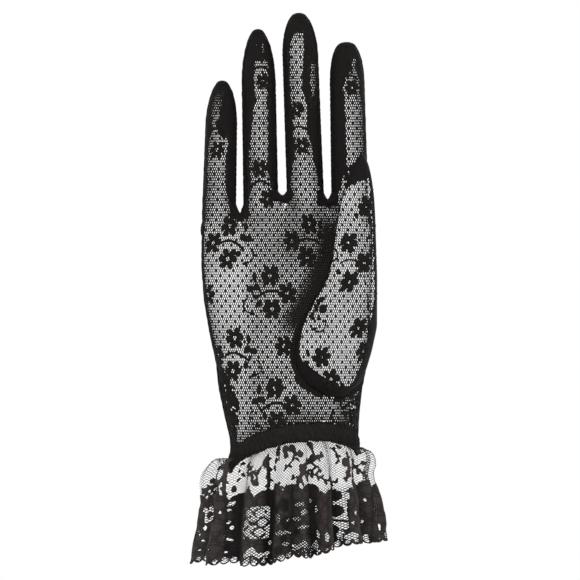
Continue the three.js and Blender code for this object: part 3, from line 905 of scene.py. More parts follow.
webs = [web(0, 6.5, 1.2), web(1, 3.5, 1.8), web(2, 5.0, 1.4)]
front = join([handCloth(True)] + [tipCap(tube, row["tipZ"]) for tube, row in zip(fingers, fingerRows)] + webs)
addPiece("palm_turnings", *front[:2], finishes["seam_cloth"], "seam_lace", ["palm_panel"], front[2])
back = turned(join([handCloth(False)] + webs))
addPiece("back_turnings", *back[:2], finishes["seam_cloth"], "seam_lace", ["back_panel"], back[2])


# Thumb
def thumbShare(x, z):      # place across the thumb of what the camera sees
    grid = np.linspace(-1.0, 1.0, 61)
    share, height = np.meshgrid(grid, z, indexing="ij")
    table = thumb.point(share.ravel(), height.ravel(), -1)[0].reshape(share.shape)
    i = np.clip(np.sum(table < x[None, :], axis=0), 1, 60)
    n = np.arange(len(x))
    return grid[i - 1] + (x - table[i - 1, n]) / (table[i, n] - table[i - 1, n]) * (grid[1] - grid[0])


def thumbNet(side):      # the hand's own lattice, brought onto the thumb along the camera's lines
    flat, edges, dot = lattice()
    low, high = glove["thumbLow"], glove["thumbTop"]
    near = (np.abs(flat[:, 0] - 22.0) < 30.0) & (flat[:, 1] > low) & (flat[:, 1] < high)
    flat, edges, dot = keepNet(flat, edges, dot, near)
    cut = handReach(flat[:, 1]) - 5.0      # it goes on evenly past the hand's side
    x, y, z = handPoint(np.minimum(flat[:, 0], cut), flat[:, 1]).T
    x = x + 0.9 * np.maximum(0.0, flat[:, 0] - cut)
    for _ in range(2):
        share = thumbShare(x, z)
        _, depth = thumb.point(np.clip(share, -1, 1), z, side)
        x, z = linedUp(x, z, y, depth)
        y = depth
    flat = np.stack([share * thumb.girth(z), z], axis=1)
    keep = (np.abs(share) < 0.98) & (z > low + 1.0) & (z < high - 1.5)
    flat, edges, dot = keepNet(flat, edges, dot, keep)
    u, v = flat.T
    points = thumbPoint(u, v, side=side)
    keep = (handOutside(*points.T) > 0.3) & (thumbDense(u, v, side) < 1.0)
    flat, edges, dot = keepNet(flat, edges, dot, keep)
    u, v = flat.T
    thin = net["thumbRadius"] if side < 0 else net["thumbUnder"]
    thick = np.where(dot, net["thumbDot"] if side < 0 else net["thumbDotUnder"], thin)
    return thumbPoint(u, v, side=side), edges, thick * (1 + 0.12 * ripple(19, u, v, 30.0))


thumbNets = joinStrands([thumbNet(-1), thumbNet(1)])
addStrands("thumb_net", *thumbNets, finishes["net_thread"], "lace_net", ["thumb"])


def thumbCloth(side):
    def dense(u, v):
        points = thumbPoint(u, v, side=side)
        value = np.minimum(thumbDense(u, v, side), handOutside(*points.T) + 0.2)
        return np.minimum(value, thumb.girth(v) - np.abs(u))

    def place(u, v, h):
        return thumbPoint(u, v, h, side)
    us, vs = np.arange(-27.0, 27.1, 0.6), np.arange(glove["thumbLow"], 139.4, 0.8)
    points, faces, uv = fill(us, vs, dense, place, turnings["thickness"], turnings["lift"])
    return points, faces if side < 0 else flipped(faces), uv


both = join([thumbCloth(-1), thumbCloth(1)])
addPiece("thumb_turnings", *both[:2], finishes["seam_cloth"], "seam_lace", ["thumb"], both[2])

# Sprigs, worked in the same chart
class Patch:      # raised motifs in a chart, where home is the middle of the motif that a point belongs to
    def __init__(self):
        self.u, self.v, self.h, self.home, self.faces = [], [], [], [], []

    def points(self, u, v, h, home):
        start = len(self.u)
        self.u += list(u)
        self.v += list(v)
        self.h += list(h)
        self.home += [home] * len(u)
        return start

    def blob(self, u, v, wide, tall, turn=0.0, height=0.3, sides=12, home=None):
        angle = np.arange(sides) * 2 * math.pi / sides
        levels = [(1.0, 0.0), (0.86, 0.62), (0.5, 0.95)]
        us, vs, hs = [u], [v], [height]
        for size, lift in levels:
            x, y = wide * size * np.cos(angle), tall * size * np.sin(angle)
            us += list(u + x * math.cos(turn) - y * math.sin(turn))
            vs += list(v + x * math.sin(turn) + y * math.cos(turn))
            hs += [height * lift] * sides
        us.append(u)
        vs.append(v)
        hs.append(-0.12)
        start = self.points(us, vs, hs, (u, v) if home is None else home)
        last = start + 1 + sides * len(levels)
        for i in range(sides):
            j = (i + 1) % sides
            a, b, c = start + 1, start + 1 + sides, start + 1 + 2 * sides
            self.faces += [(a + i, a + j, b + j, b + i), (b + i, b + j, c + j, c + i), (c + i, c + j, start),
                           (a + j, a + i, last)]

    def ring(self, u, v, inner, outer, height=0.3, sides=14, squash=1.0, home=None):
        angle = np.arange(sides) * 2 * math.pi / sides
        us, vs, hs = [], [], []
        for size, lift in ((outer, 0.0), ((inner + outer) / 2, 1.0), (inner, 0.0),
        ((inner + outer) / 2, -0.3)):
            us += list(u + size * np.cos(angle))
            vs += list(v + size * squash * np.sin(angle))
            hs += [height * lift] * sides
        start = self.points(us, vs, hs, (u, v) if home is None else home)
        for level in range(4):
            a, b = start + level * sides, start + (level + 1) % 4 * sides
            for i in range(sides):
                j = (i + 1) % sides
                self.faces.append((a + i, a + j, b + j, b + i))

    def stroke(self, path, width, height=0.25, home=None):
        path = np.array(path, dtype=float)
        width = np.broadcast_to(width, len(path))
        ahead = np.gradient(path, axis=0)
        ahead /= np.maximum(1e-6, np.linalg.norm(ahead, axis=1))[:, None]
        side = np.stack([-ahead[:, 1], ahead[:, 0]], axis=1) * (width / 2)[:, None]
        us, vs, hs = [], [], []
        for i, (u, v) in enumerate(path):
            us += [u + side[i, 0], u, u - side[i, 0], u]
            vs += [v + side[i, 1], v, v - side[i, 1], v]
            hs += [0.0, height, 0.0, -0.1]
        start = self.points(us, vs, hs, tuple(path[len(path) // 2]) if home is None else home)
        for i in range(len(path) - 1):
            for c in range(4):
                a, b = start + 4 * i + c, start + 4 * i + (c + 1) % 4
                self.faces.append((b, a, a + 4, b + 4))
        end = start + 4 * (len(path) - 1)
        self.faces += [(start, start + 1, start + 2, start + 3), (end + 3, end + 2, end + 1, end)]

    def arrays(self):
        return [np.array(values) for values in (self.u, self.v, self.h, self.home)]


def curve(points, steps=14):      # a smooth path through a few places
    points = np.array(points, dtype=float)
    t = np.linspace(0.0, 1.0, steps)
    keys = np.linspace(0.0, 1.0, len(points))
    order = len(points) - 1
    return np.stack([np.polyval(np.polyfit(keys, points[:, c], order), t) for c in (0, 1)], axis=1)


sprig = {
    "petals": [(-1.9, 3.1, 1.55, 1.75, 0.35), (1.7, 3.2, 1.5, 1.75, -0.3), (3.15, 0.25, 1.35, 1.75, 0.1),
               (1.75, -3.1, 1.5, 1.7, 0.3), (-1.8, -3.2, 1.5, 1.7, -0.3), (-3.2, -0.2, 1.35, 1.75, -0.1)],
    "heart": (0.9, 2.75),      # petals: place, half sizes and turn in millimetres; heart: its two radii
    "flowers": [(-19, 0), (-2, -17), (-4, 16)],      # from here on the places are those of the plan
    "leaves": [(13, -16, 1.15, 2.2, 0.1), (11, -5.5, 1.7, 1.6, 0.5), (17.5, -4, 2.0, 1.6, -0.3),
               (17, 20.5, 1.5, 0.8, 0.35)],
    "bud": (9, 11, 1.35, 1.45),
    "stem": [(-12, 0), (-2, -2), (6, 1), (13, 6)],
    "tail": [(20, 5), (24.5, 10), (24.5, 16), (19, 20)],
    "twigs": [[(13, -14), (11, -6), (14, -3)], [(9, 9), (14, 4), (15, -2)]],
    "across": (79, -2), "down": (5, 112), "mirrored": (36, 50), "first": (232, 243),      # the sprig's repeat
    "single": [(284, 346, 0.95), (217, 150, 0.82), (262.7, 82, 0.76), (259.5, 169, 0.85),
               (268.4, 199.5, 0.88),
               (297, 110, 0.76), (302, 146, 0.78), (351.8, 88, 0.74), (349, 173, 0.8)],
    "arcs": [[(253, 71), (261, 67), (269, 72)], [(251, 187), (260, 181), (269, 186)],
             [(291, 130), (300, 127), (309, 132)], [(343, 79), (350, 76), (358, 80)],
             [(210, 133), (217, 129), (224, 134)]],
    "size": 0.97,
    "besideThumb": 0.7,      # size of the flowers that show past the thumb's edge
    "height": 0.32,
    "lift": 0.12,
}


def flower(patch, u, v, size, seed):
    rng = np.random.default_rng(seed)
    home = (u, v)
    lean = rng.uniform(-0.16, 0.16)
    for du, dv, wide, tall, turn in sprig["petals"]:
        grow = size * rng.uniform(0.92, 1.08)
        x, y = du * math.cos(lean) - dv * math.sin(lean), du * math.sin(lean) + dv * math.cos(lean)
        patch.blob(u + x * size, v + y * size, wide * grow, tall * grow, turn + lean, sprig["height"],
                   home=home)
    inner, outer = sprig["heart"]
    patch.ring(u, v, inner * size, outer * size, sprig["height"] * 0.9, home=home, squash=1.15)


def drawSprig(patch, anchor, flip, toChart, seed):
    side = -1 if flip else 1
    pitch = glove["pitch"]
    for i, (dx, dy) in enumerate(sprig["flowers"]):
        place = (anchor[0] + dx * side, anchor[1] + dy)
        if not underThumb(*place):
            flower(patch, *toChart(*place), sprig["size"], seed + i)
    if underThumb(anchor[0] + 9 * side, anchor[1]):
        return
    u, v = toChart(*anchor)

    def near(dx, dy):
        return u + dx * side * pitch, v - dy * pitch
    for dx, dy, wide, tall, turn in sprig["leaves"]:
        patch.blob(*near(dx, dy), wide, tall, turn * side, sprig["height"])
    dx, dy, wide, tall = sprig["bud"]
    patch.blob(*near(dx, dy), wide, tall, 0.0, sprig["height"])
    patch.stroke(curve([near(*place) for place in sprig["stem"]]), 1.25)
    for path in sprig["twigs"]:
        patch.stroke(curve([near(*place) for place in path], 8), 0.6)
    patch.stroke(curve([near(*place) for place in sprig["tail"]], 8), 0.8)


def keepHome(u, v, home):      # a motif stays on its own finger, and inside the outer seams
    k, _, _ = whichFinger(home[:, 0], home[:, 1])
    starts = seamStarts(0.0)
    n = np.arange(len(u))
    knots = np.stack([np.interp(v, chartRows["z"], clothKnots[:, i]) for i in range(5)])
    low, high = knots[k, n] + 0.8, knots[k + 1, n] - 0.8
    u = np.where((v > starts[k] - 1) & (starts[k] > 0), np.maximum(u, low), u)
    u = np.where((v > starts[k + 1] - 1) & (starts[k + 1] > 0), np.minimum(u, high), u)
    reach = knots[4] - 0.3
    return np.clip(u, -reach, reach), np.minimum(v, tipHeights[k] - 0.8)


def underThumb(planX, planY):      # whether the thumb hides a place of the plan
    x, z = fromPlan(planX, planY)
    cx, _, width, _, _ = thumb.at(z)
    return 28.0 < z < 138.0 and abs(x - cx) < width + 2.0


def handSprigs():
    patch = Patch()
    (firstX, firstY), (acrossX, acrossY), (downX, downY) = sprig["first"], sprig["across"], sprig["down"]
    for m in range(-3, 2):
        for n in range(-1, 3):
            for flip in (False, True):
                x = firstX + n * acrossX + m * downX + flip * sprig["mirrored"][0]
                y = firstY + n * acrossY + m * downY + flip * sprig["mirrored"][1]
                if 180 < x < 392 and 235 < y < 425:
                    drawSprig(patch, (x, y), flip, handPlan, 100 * m + 10 * n + flip + 500)
    for i, (x, y, size) in enumerate(sprig["single"]):
        flower(patch, *handPlan(x, y), size, 800 + i)
    for path in sprig["arcs"]:
        patch.stroke(curve([handPlan(x, y) for x, y in path]), 1.1)
    return patch


def dropFaces(faces, bad):      # leaves out the faces that have a bad corner
    return [face for face in faces if not any(bad[i] for i in face)]


thumbSprigs = {
    "flowers": [(348, 243), (364, 263), (349, 282), (366, 207), (358, 328), (321.5, 357), (331, 379),
    (363, 351)],
    "buds": [(338, 272, 1.2, 1.4), (323, 309, 1.9, 2.1), (318, 302, 1.0, 1.6), (308, 353, 0.9, 1.9),
             (306, 363, 1.2, 1.4), (369, 322, 0.9, 1.2), (356, 216, 0.9, 1.4), (322, 299, 1.7, 1.1),
             (316, 308, 0.8, 2.2), (312.5, 316, 0.7, 2.0), (319, 318, 0.8, 1.3), (314, 329, 1.5, 0.8)],
    "stems": [[(340, 264), (348, 260), (357, 262)], [(317, 331), (322, 331), (325, 326), (325, 320)],
              [(308, 366), (318, 374), (326, 379)], [(366, 333), (370, 335), (373, 334)]],
}


def drawThumbSprigs(patch, toChart, size):
    for i, (x, y) in enumerate(thumbSprigs["flowers"]):
        flower(patch, *toChart(x, y), size, 900 + i)
    for x, y, wide, tall in thumbSprigs["buds"]:
        patch.blob(*toChart(x, y), wide, tall, 0.3, sprig["height"])
    for path in thumbSprigs["stems"]:
        patch.stroke(curve([toChart(x, y) for x, y in path]), 0.7)
    return patch


def handMotifs():      # points of the front's motifs, and their faces on the palm and on the back
    patch = drawThumbSprigs(handSprigs(), handPlan, sprig["besideThumb"])
    u, v, h, home = patch.arrays()
    u, v = keepHome(u, v, home)
    v = np.maximum(v, -8.0)
    points = handPoint(u, v, h + sprig["lift"])
    inThumb = (thumb.outside(*points.T) < 0.0) & (v > glove["thumbLow"]) & (v < 96.0)
    below = points[:, 2] < wristLine(points[:, 0]) + 3.0
    return points, dropFaces(patch.faces, inThumb | below), dropFaces(patch.faces, below)


def thumbMotifs():
    patch = drawThumbSprigs(Patch(), thumbPlan, sprig["size"])
    u, v, h, _ = patch.arrays()
    v = np.clip(v, 27.5, 138.0)
    reach = thumb.girth(v) - 0.2
    points = thumbPoint(np.clip(u, -reach, reach), v, h + sprig["lift"])
    return points, dropFaces(patch.faces, handOutside(*points.T) < 0.0)


motifPoints, palmFaces, backFaces = handMotifs()
motifThread = finishes["motif_thread"]
addPiece("palm_sprigs", motifPoints, palmFaces, motifThread, "lace_net", ["palm_panel"])
addPiece("back_sprigs", behind(motifPoints), flipped(backFaces), motifThread, "lace_net", ["back_panel"])
addPiece("thumb_sprigs", *thumbMotifs(), motifThread, "lace_net", ["thumb"])


# Strips between the fingers, and the cords of the seams
strip = {"rootHalf": 4.6, "tipHalf": 2.2, "belowTip": 5.0, "cord": 0.62, "edge": 0.34, "net": 0.17, "dot": 0.36}


def stripHalf(k, gap, z):
    crotch = crotches[gap][1]
    share = np.clip((z - crotch) / (fingerRows[k]["tipZ"] - strip["belowTip"] - crotch), 0, 1)
    return strip["rootHalf"] + (strip["tipHalf"] - strip["rootHalf"]) * share


def fourchette(gap):      # net and two cords on the sides of both fingers beside a gap
    parts = []
    crotch = crotches[gap][1]
    for k, side in ((gap, 1), (gap + 1, -1)):
        top = fingerRows[k]["tipZ"] - strip["belowTip"]
        flat, edges, dot = hexNet(-5.0, 5.0, crotch - 1.0, top, 40 + k)
        keep = (np.abs(flat[:, 0]) < stripHalf(k, gap, flat[:, 1])) & (flat[:, 1] > crotch) & (flat[:, 1] < top)
        flat, edges, dot = keepNet(flat, edges, dot, keep)
        points = sideWall(k, side, flat[:, 0], flat[:, 1], 0.1)
        parts.append((points, edges, np.where(dot, strip["dot"], strip["net"])))
        z = np.arange(crotch - 0.5, top + 0.1, 1.0)
        for direction in (-1, 1):
            w = stripHalf(k, gap, z) * direction * (1 + 0.03 * ripple(50 + k, z, z * 0, 7.0))
            parts.append((sideWall(k, side, w, z, 0.05), cordEdges(len(z)), np.full(len(z), strip["edge"])))
    return joinStrands(parts)


for gap, name in enumerate(("fourchette_little_ring", "fourchette_ring_middle", "fourchette_middle_index")):
    addStrands(name + "_net", *fourchette(gap), finishes["seam_cloth"], "seam_lace", [name], 4)


def cordPaths():      # along the sides of the fingers and of the hand
    paths = []
    starts = seamStarts(glove["rootTop"])
    for k, row in enumerate(fingerRows):
        for side, low in ((-1, starts[k]), (1, starts[k + 1])):
            rise = 1.2 + 4.8 * np.cos(np.linspace(0, 1.56, 9))
            z = np.concatenate([np.arange(low - 1.0, row["tipZ"] - 6, 1.0), row["tipZ"] - rise])
            w = 0.25 * ripple(60 + k, z, z * 0 + side, 9.0)
            paths.append(sideWall(k, side, w, z, -0.28))
    z = np.arange(0.0, glove["rootTop"] + 1.0, 1.0)
    for side in (-1, 1):
        x, y = palm.point(np.full(len(z), float(side)), z, -1)
        path = np.stack([x, y + 0.25 * ripple(70, z, z * 0, 9.0), z]).T
        paths.append(path[z > wristLine(x) + 3.0])
    return paths


def cordThick(path):      # the hand's side seam is fine where the thumb lies over it
    covered = smooth(28.0, 32.0, path[:, 0]) * smooth(44.0, 50.0, path[:, 2]) * smooth(132.0, 126.0, path[:, 2])
    return strip["cord"] * (1 - 0.8 * covered) * (1 + 0.2 * ripple(71, path[:, 2], path[:, 0], 4.0))


seamCords = [(path, cordEdges(len(path)), cordThick(path)) for path in cordPaths()]
addStrands("finger_seams", *joinStrands(seamCords), finishes["seam_cloth"], "seam_lace", [], 7)


# Wrist band: an elastic ring under gathered cloth


def bandPiece():
    angle = np.arange(band["columns"]) * 2 * math.pi / band["columns"]
    profile = np.linspace(0.0, 2.0 * math.pi, 23)[:-1]
    A, P = np.meshgrid(angle, profile, indexing="ij")
    up = np.sin(P) * band["height"] / 2
    out = np.sign(np.cos(P)) * np.abs(np.cos(P)) ** 0.6 * band["thick"] / 2
    arc = A * 26.0
    lean = 0.9 * ripple(81, arc, up * 0.8, 14.0)
    crease = np.abs(np.sin((arc + lean * 2.0 + 0.35 * up) * math.pi / 2.6 + 1.4 * ripple(82, arc, up, 9.0)))
    fine = np.abs(np.sin((arc - lean + 0.5 * up) * math.pi / 1.15 + ripple(83, arc, up * 2, 5.0)))
    relief = (crease ** 0.7 - 0.6) * band["pleats"] + (fine - 0.5) * 0.3 + 0.2 * ripple(84, arc, up, 2.2)
    out = out + np.where(np.cos(P) > 0, relief, relief * 0.4)
    edge = 0.35 * ripple(85, arc, up * 0, 5.0) + 0.3 * (crease - 0.5)
    up = up + edge * np.sign(np.sin(P)) * np.abs(np.sin(P)) ** 2
    x = (band["halfWidth"] + out) * np.sin(A)
    y = -(band["halfDepth"] + out) * np.cos(A)
    z = bandHeight(A) + up + 0.25 * ripple(86, arc, arc * 0, 22.0)
    rows, columns = A.shape
    number = np.arange(rows * columns).reshape(rows, columns)
    nextRow, nextColumn = np.roll(number, -1, 0), np.roll(number, -1, 1)
    faces = np.stack([number, nextRow, np.roll(nextRow, -1, 1), nextColumn], axis=-1).reshape(-1, 4)
    return np.stack([x, y, z], axis=-1).reshape(-1, 3), faces.tolist()


addPiece("wrist_band_gathers", *bandPiece(), finishes["band_cloth"], "elastic_band", ["wrist_band"])

# Ruffle
ruffle = {
    "inset": 0.6, "top": -3.0, "hem": -47.0, "roll": 0.14, "lean": 0.15, "length": 55.0,
    "flare": np.array([(0.0, 0.0, 0.25), (0.08, 4.0, 0.45), (0.2, 7.2, 0.6), (0.4, 9.4, 0.78),
                       (0.6, 10.9, 0.92),
                       (0.8, 12.2, 1.02), (1.0, 13.3, 1.12)]),      # share down, outward, fold size
    "folds": [(-71, 3.8, 3.4), (-42, 4.4, 0.8), (-16, 4.2, -2.1), (-1, 1.8, 0.4), (12, 3.0, -1.6),
              (32, 4.4, 2.2),
              (55, 2.2, 1.6), (78, 3.6, 1.2)],                       # angle, depth, lift of the hem
    "puff": 4.2, "liftLeft": 8.0, "liftRight": 3.5,      # how far the cloth stands up at its two ends
    "cell": 0.56,
    "thickness": 0.42,
    "hemCord": 0.34,
}


def foldAt(degrees):
    rows = sorted(ruffle["folds"])
    first, last = rows[0], rows[-1]
    rows = [(-180 - first[0], *first[1:])] + rows + [(180 - last[0], *last[1:])]
    places = np.array([row[0] for row in rows], dtype=float)
    place = np.clip(degrees, places[0] + 0.001, places[-1] - 0.001)
    i = np.clip(np.searchsorted(places, place) - 1, 0, len(rows) - 2)
    t = (place - places[i]) / (places[i + 1] - places[i])
    depth = np.array([row[1] for row in rows])
    lift = np.array([row[2] for row in rows])
    depth = depth[i] * (1 - t) + depth[i + 1] * t
    lift = lift[i] * (1 - t) + lift[i + 1] * t
    return -depth * np.cos(2 * math.pi * t), lift


def ruffleRaw(degrees, down):      # the front's cloth, by angle round the wrist and share of the way down
    angle = np.radians(degrees)
    dip, lift = foldAt(degrees)
    out, wave = (np.interp(down, ruffle["flare"][:, 0], ruffle["flare"][:, c]) for c in (1, 2))
    left = np.clip(-np.sin(angle), 0, 1) ** 2
    right = np.clip(np.sin(angle), 0, 1) ** 2

    def bulge(middle, spread):
        return np.exp(-((down - middle) / spread) ** 2)
    puff = ruffle["puff"] * left * bulge(0.17, 0.2)
    puff = puff + 3.2 * right * bulge(0.1, 0.12) - 1.2 * right * bulge(0.34, 0.1)
    out = out * (1 - ruffle["lean"] * np.sin(angle)) + dip * wave + puff
    out = out + 0.7 * wave * ripple(91, degrees * 0.66, down * 30.0, 11.0)
    out = out + 0.35 * (1 - down) * np.sin(degrees * 2.1)
    slide = 1.25 * np.sin(angle * 9.0) * down + 1.6 * ripple(92, degrees * 0.66, down * 40.0, 26.0)
    turn = np.radians(degrees + slide * 0.55)
    top = bandHeight(angle) + ruffle["top"]
    hem = ruffle["hem"] + ruffle["roll"] * (band["halfWidth"] + out) * np.sin(angle) + lift
    hem = hem + 0.5 * ripple(93, degrees, degrees * 0, 30.0)
    stand = ruffle["liftLeft"] * left ** 3 + ruffle["liftRight"] * right ** 3
    z = top + (hem - top) * down + stand * smooth(0.0, 0.06, down) * np.clip(1 - down, 0, 1) ** 1.2
    wide, deep = band["halfWidth"] - ruffle["inset"] + out, band["halfDepth"] - ruffle["inset"] + out
    return np.stack([wide * np.sin(turn), -deep * np.cos(turn), z])


fineAngles = np.linspace(-90.0, 90.0, 1801)


def ruffleRun():      # how much cloth there is up to each angle, measured two thirds down
    points = ruffleRaw(fineAngles, np.full(len(fineAngles), 0.62))[:2]
    step = np.hypot(*np.diff(points, axis=1))
    run = np.concatenate([[0.0], np.cumsum(step)])
    return run - np.interp(0.0, fineAngles, run)


clothRun = ruffleRun()
halfCloth = (float(clothRun[0]), float(clothRun[-1]))
stage("ruffle cloth from %.1f to %.1f mm on each face" % halfCloth)


def rufflePoint(s, t, h=0.0):
    degrees = np.interp(s, clothRun, fineAngles)
    down = np.clip(t / ruffle["length"], 0.0, 1.06)
    point = ruffleRaw(degrees, down)
    along = ruffleRaw(degrees + 0.15, down) - ruffleRaw(degrees - 0.15, down)
    below = ruffleRaw(degrees, down + 0.004) - ruffleRaw(degrees, down - 0.004)
    normal = np.cross(along.T, below.T)
    normal /= np.maximum(1e-9, np.linalg.norm(normal, axis=1))[:, None]
    outward = np.stack([point[0], point[1], point[2] * 0], axis=1)
    flip = np.sign(np.sum(normal * outward, axis=1))
    side = np.where(flip == 0, 1, flip)
    return point.T + normal * np.median(side) * (np.zeros(len(s)) + h)[:, None]


def ruffleBehind(points):      # the back follows the same folds
    x, y, z = points.T
    x, z = linedUp(x, z, y, -y)
    return np.stack([x, -y, z]).T


def ruffleGrid():
    s, t = np.meshgrid(np.linspace(halfCloth[0], halfCloth[1], 900), np.linspace(0.0, 56.0, 113))
    return s.ravel(), t.ravel(), rufflePoint(s.ravel(), t.ravel())


seenCloth = ruffleGrid()


def rufflePlan(planX, planY):      # the cloth that the camera sees at a place of the plan
    x, z = fromPlan(planX, planY)
    s, t, points = seenCloth
    score = np.hypot(points[:, 0] - x, points[:, 2] - z) + 0.02 * (points[:, 1] + 40.0)      # the nearest layer
    best = int(np.argmin(score))
    return float(s[best]), float(t[best])


columnRows = [      # middle of each column of the lace at its plan place, and what it shows
    (205, "plain"), (228, "plain"), (253, "rosette"), (281, "strip"), (303, "crowned"), (333, "ovals"),
    (360, "plain"), (379, "plain")]
darkPlan = [      # the closest woven ovals: plan place and half sizes in millimetres
    (284, 504, 2.3, 3.2), (285.5, 521.5, 2.3, 3.2), (283, 538, 1.8, 2.2), (277, 508, 1.3, 1.6),
    (278, 549, 1.8, 2.2), (297, 530, 1.6, 1.8), (309, 531, 1.6, 1.8), (238, 553, 1.5, 1.8),
    (227, 547, 1.6, 1.8)]
creasePlan = [      # painted shade along the creases: plan x and half width in millimetres
    (226.5, 1.6), (268, 3.2), (292, 1.0), (313.5, 3.4), (328, 1.2), (347.5, 1.6), (372, 1.2)]
windowPlan = [      # small open places in the dense lace: plan place, half sizes in millimetres and turn
    (224, 496, 1.3, 2.2, 0.2), (231.5, 503, 2.7, 1.2, 0.5), (229.5, 509, 1.5, 1.0, 0.0),
    (229, 522, 1.6, 0.9, 0.6),
    (232, 527, 1.0, 1.5, 0.0), (228.5, 538, 3.3, 0.9, -0.35), (206, 511, 1.5, 2.0, 0.3),
    (212, 509, 1.5, 1.9, 0.3),
    (207, 520, 1.5, 1.9, 0.3), (213, 518, 1.5, 1.9, 0.3), (205, 528, 1.3, 1.4, 0.2),
    (199, 533, 0.8, 2.0, 0.1),
    (204, 541, 2.2, 0.8, -0.3), (197, 507, 1.2, 2.4, 0.4), (200, 550, 1.6, 0.8, 0.2),
    (213, 538, 1.0, 0.8, 0.0),
    (277.5, 517, 1.3, 2.4, 0.0), (282.5, 531.5, 4.0, 1.0, 0.1), (299, 503.5, 2.6, 0.9, 0.1),
    (304, 511, 1.9, 1.2, 0.5), (297, 518, 2.0, 0.9, -0.2), (303, 525.5, 3.6, 0.8, 0.1),
    (316, 508, 0.8, 1.5, 0.0), (318, 533, 0.8, 2.2, 0.1),
    (347.5, 495, 0.8, 2.0, 0.1), (352, 535, 3.4, 1.7, 0.15), (366, 538, 1.5, 2.0, 0.1),
    (373.5, 509, 1.2, 0.9, 0.0), (379, 527, 0.7, 1.6, 0.0), (356, 512, 0.7, 0.9, 0.0),
    (362, 521, 0.8, 0.7, 0.0), (270, 541, 0.8, 1.7, 0.0),
    (386, 534, 0.8, 1.3, 0.0), (220, 512, 0.9, 1.2, 0.2), (236, 517, 0.7, 1.2, 0.0),
    (365, 500, 0.7, 0.8, 0.0),
    (353, 522, 0.7, 0.8, 0.2), (358, 545, 1.3, 0.8, 0.2), (209, 549, 1.0, 1.0, 0.2),
    (206, 558, 1.4, 0.8, 0.2),
    (226, 551, 1.2, 0.9, -0.3), (221, 527, 0.7, 1.0, 0.3), (288, 519, 0.7, 1.0, 0.0),
    (285, 543, 1.8, 0.9, 0.1),
    (316, 545, 1.2, 1.0, -0.2), (327, 536, 1.0, 2.4, 0.1), (333, 545, 1.0, 1.4, 0.2),
    (310, 500, 0.8, 0.9, 0.2),
]
lace = {
    "denseTop": 25.5,        # how far down the plain columns start
    "humpTop": 20.5, "humpRadius": 4.3, "humpApart": 4.1,
    "ovalWide": 4.7, "ovalHigh": 5.4,      # the repeat of the woven ovals
    "panelMiddle": 35.3, "panelHalf": (5.3, 7.4),
    "panelOvals": [(-2.1, -4.4), (2.1, -4.4), (-3.0, 0.1), (3.0, 0.1), (-2.1, 4.5), (2.1, 4.5)],
    "crownTabs": (-4.6, 0.0, 4.6),
    "hemTabs": 4.5, "hem": 53.2,
    "tornPlanX": 240,        # left of this place the small openings are torn-looking
}
columns = [(float(np.interp(rufflePlan(x, 515)[0], clothRun, fineAngles)), kind) for x, kind in columnRows]
stage("lace columns at " + ", ".join("%s %.0f" % (kind, angle) for angle, kind in columns))


def boxField(a, b, half, tall, corner=1.2):      # below nought inside a rounded rectangle
    x, y = np.abs(a) - half + corner, np.abs(b) - tall + corner
    return np.hypot(np.maximum(x, 0), np.maximum(y, 0)) + np.minimum(np.maximum(x, y), 0) - corner


def ovalField(a, b, wide, tall):
    return (np.hypot(a / wide, b / tall) - 1.0) * min(wide, tall)


def hemEdge(s):
    return lace["hem"] + 1.8 * np.abs(np.sin(math.pi * s / lace["hemTabs"])) ** 0.6


def columnPlace(s):      # millimetres from the middle of the nearest column, and its kind
    middles = np.array([row[0] for row in columns])
    degrees = np.interp(s, clothRun, fineAngles)
    order = np.argmin(np.abs(degrees[:, None] - middles[None, :]), axis=1)
    a = (degrees - middles[order]) * 0.716 * np.maximum(0.5, np.cos(np.radians(middles[order])))
    return a, np.array([row[1] for row in columns])[order]


def weaveToneAndCreaseShade(s, t):      # 0 in the closest woven parts of the dense lace, 1 on its raised threads; painted shade darkens it along the creases
    a, _ = columnPlace(s)
    wide, high, top = lace["ovalWide"], lace["ovalHigh"], lace["humpTop"]
    row = np.round((t - top) / high)
    across = (a + wide / 2 * (row % 2) + wide / 2) % wide - wide / 2
    rim = np.abs(ovalField(across, t - top - row * high, 2.0, 2.5))
    shade = 0.45 + 0.55 * smooth(0.15, 0.7, rim)
    seen = rufflePoint(s, t)
    for planX, planY, wide, tall in darkPlan:
        x, z = fromPlan(planX, planY)
        shade = shade * (0.2 + 0.8 * smooth(-0.3, 0.4, ovalField(seen[:, 0] - x, seen[:, 2] - z, wide, tall)))
    # painted shade: darker along each crease
    for planX, wide in creasePlan:
        x, _ = fromPlan(planX, 0)
        shade = shade * (0.45 + 0.55 * smooth(0.3, 1.0, np.abs(seen[:, 0] - x) / wide))
    return np.where(t > 19.0, shade, 1.0)


def rosettePanel(a, t):      # an open window less the threads of its rosette
    b = t - lace["panelMiddle"]
    drawn = [np.abs(ovalField(a - da, b - dt, 1.75, 2.1)) - 0.28 for da, dt in lace["panelOvals"]]
    drawn += [np.abs(np.hypot(a, b) - 1.1) - 0.3, np.hypot(a, b) - 0.5]
    return np.maximum(boxField(a, b, *lace["panelHalf"]), -np.min(drawn, axis=0))


def crownedHem(a, t):      # the crown-shaped opening above the hem, with its double tabs
    far = np.abs(a)
    top = 49.3 - 3.2 * np.maximum(0, 1 - far / 2.2) - 1.6 * smooth(3.5, 7.0, far)
    drawn = [np.abs(ovalField(a - da, t - 53.0, 2.0, 2.2)) - 0.35 for da in lace["crownTabs"]]
    drawn += [np.abs(ovalField(a - da, t - 53.2, 0.9, 1.2)) - 0.2 for da in lace["crownTabs"]]
    return np.max([top - t, t - 52.4, far - 7.3, -np.min(drawn, axis=0)], axis=0)


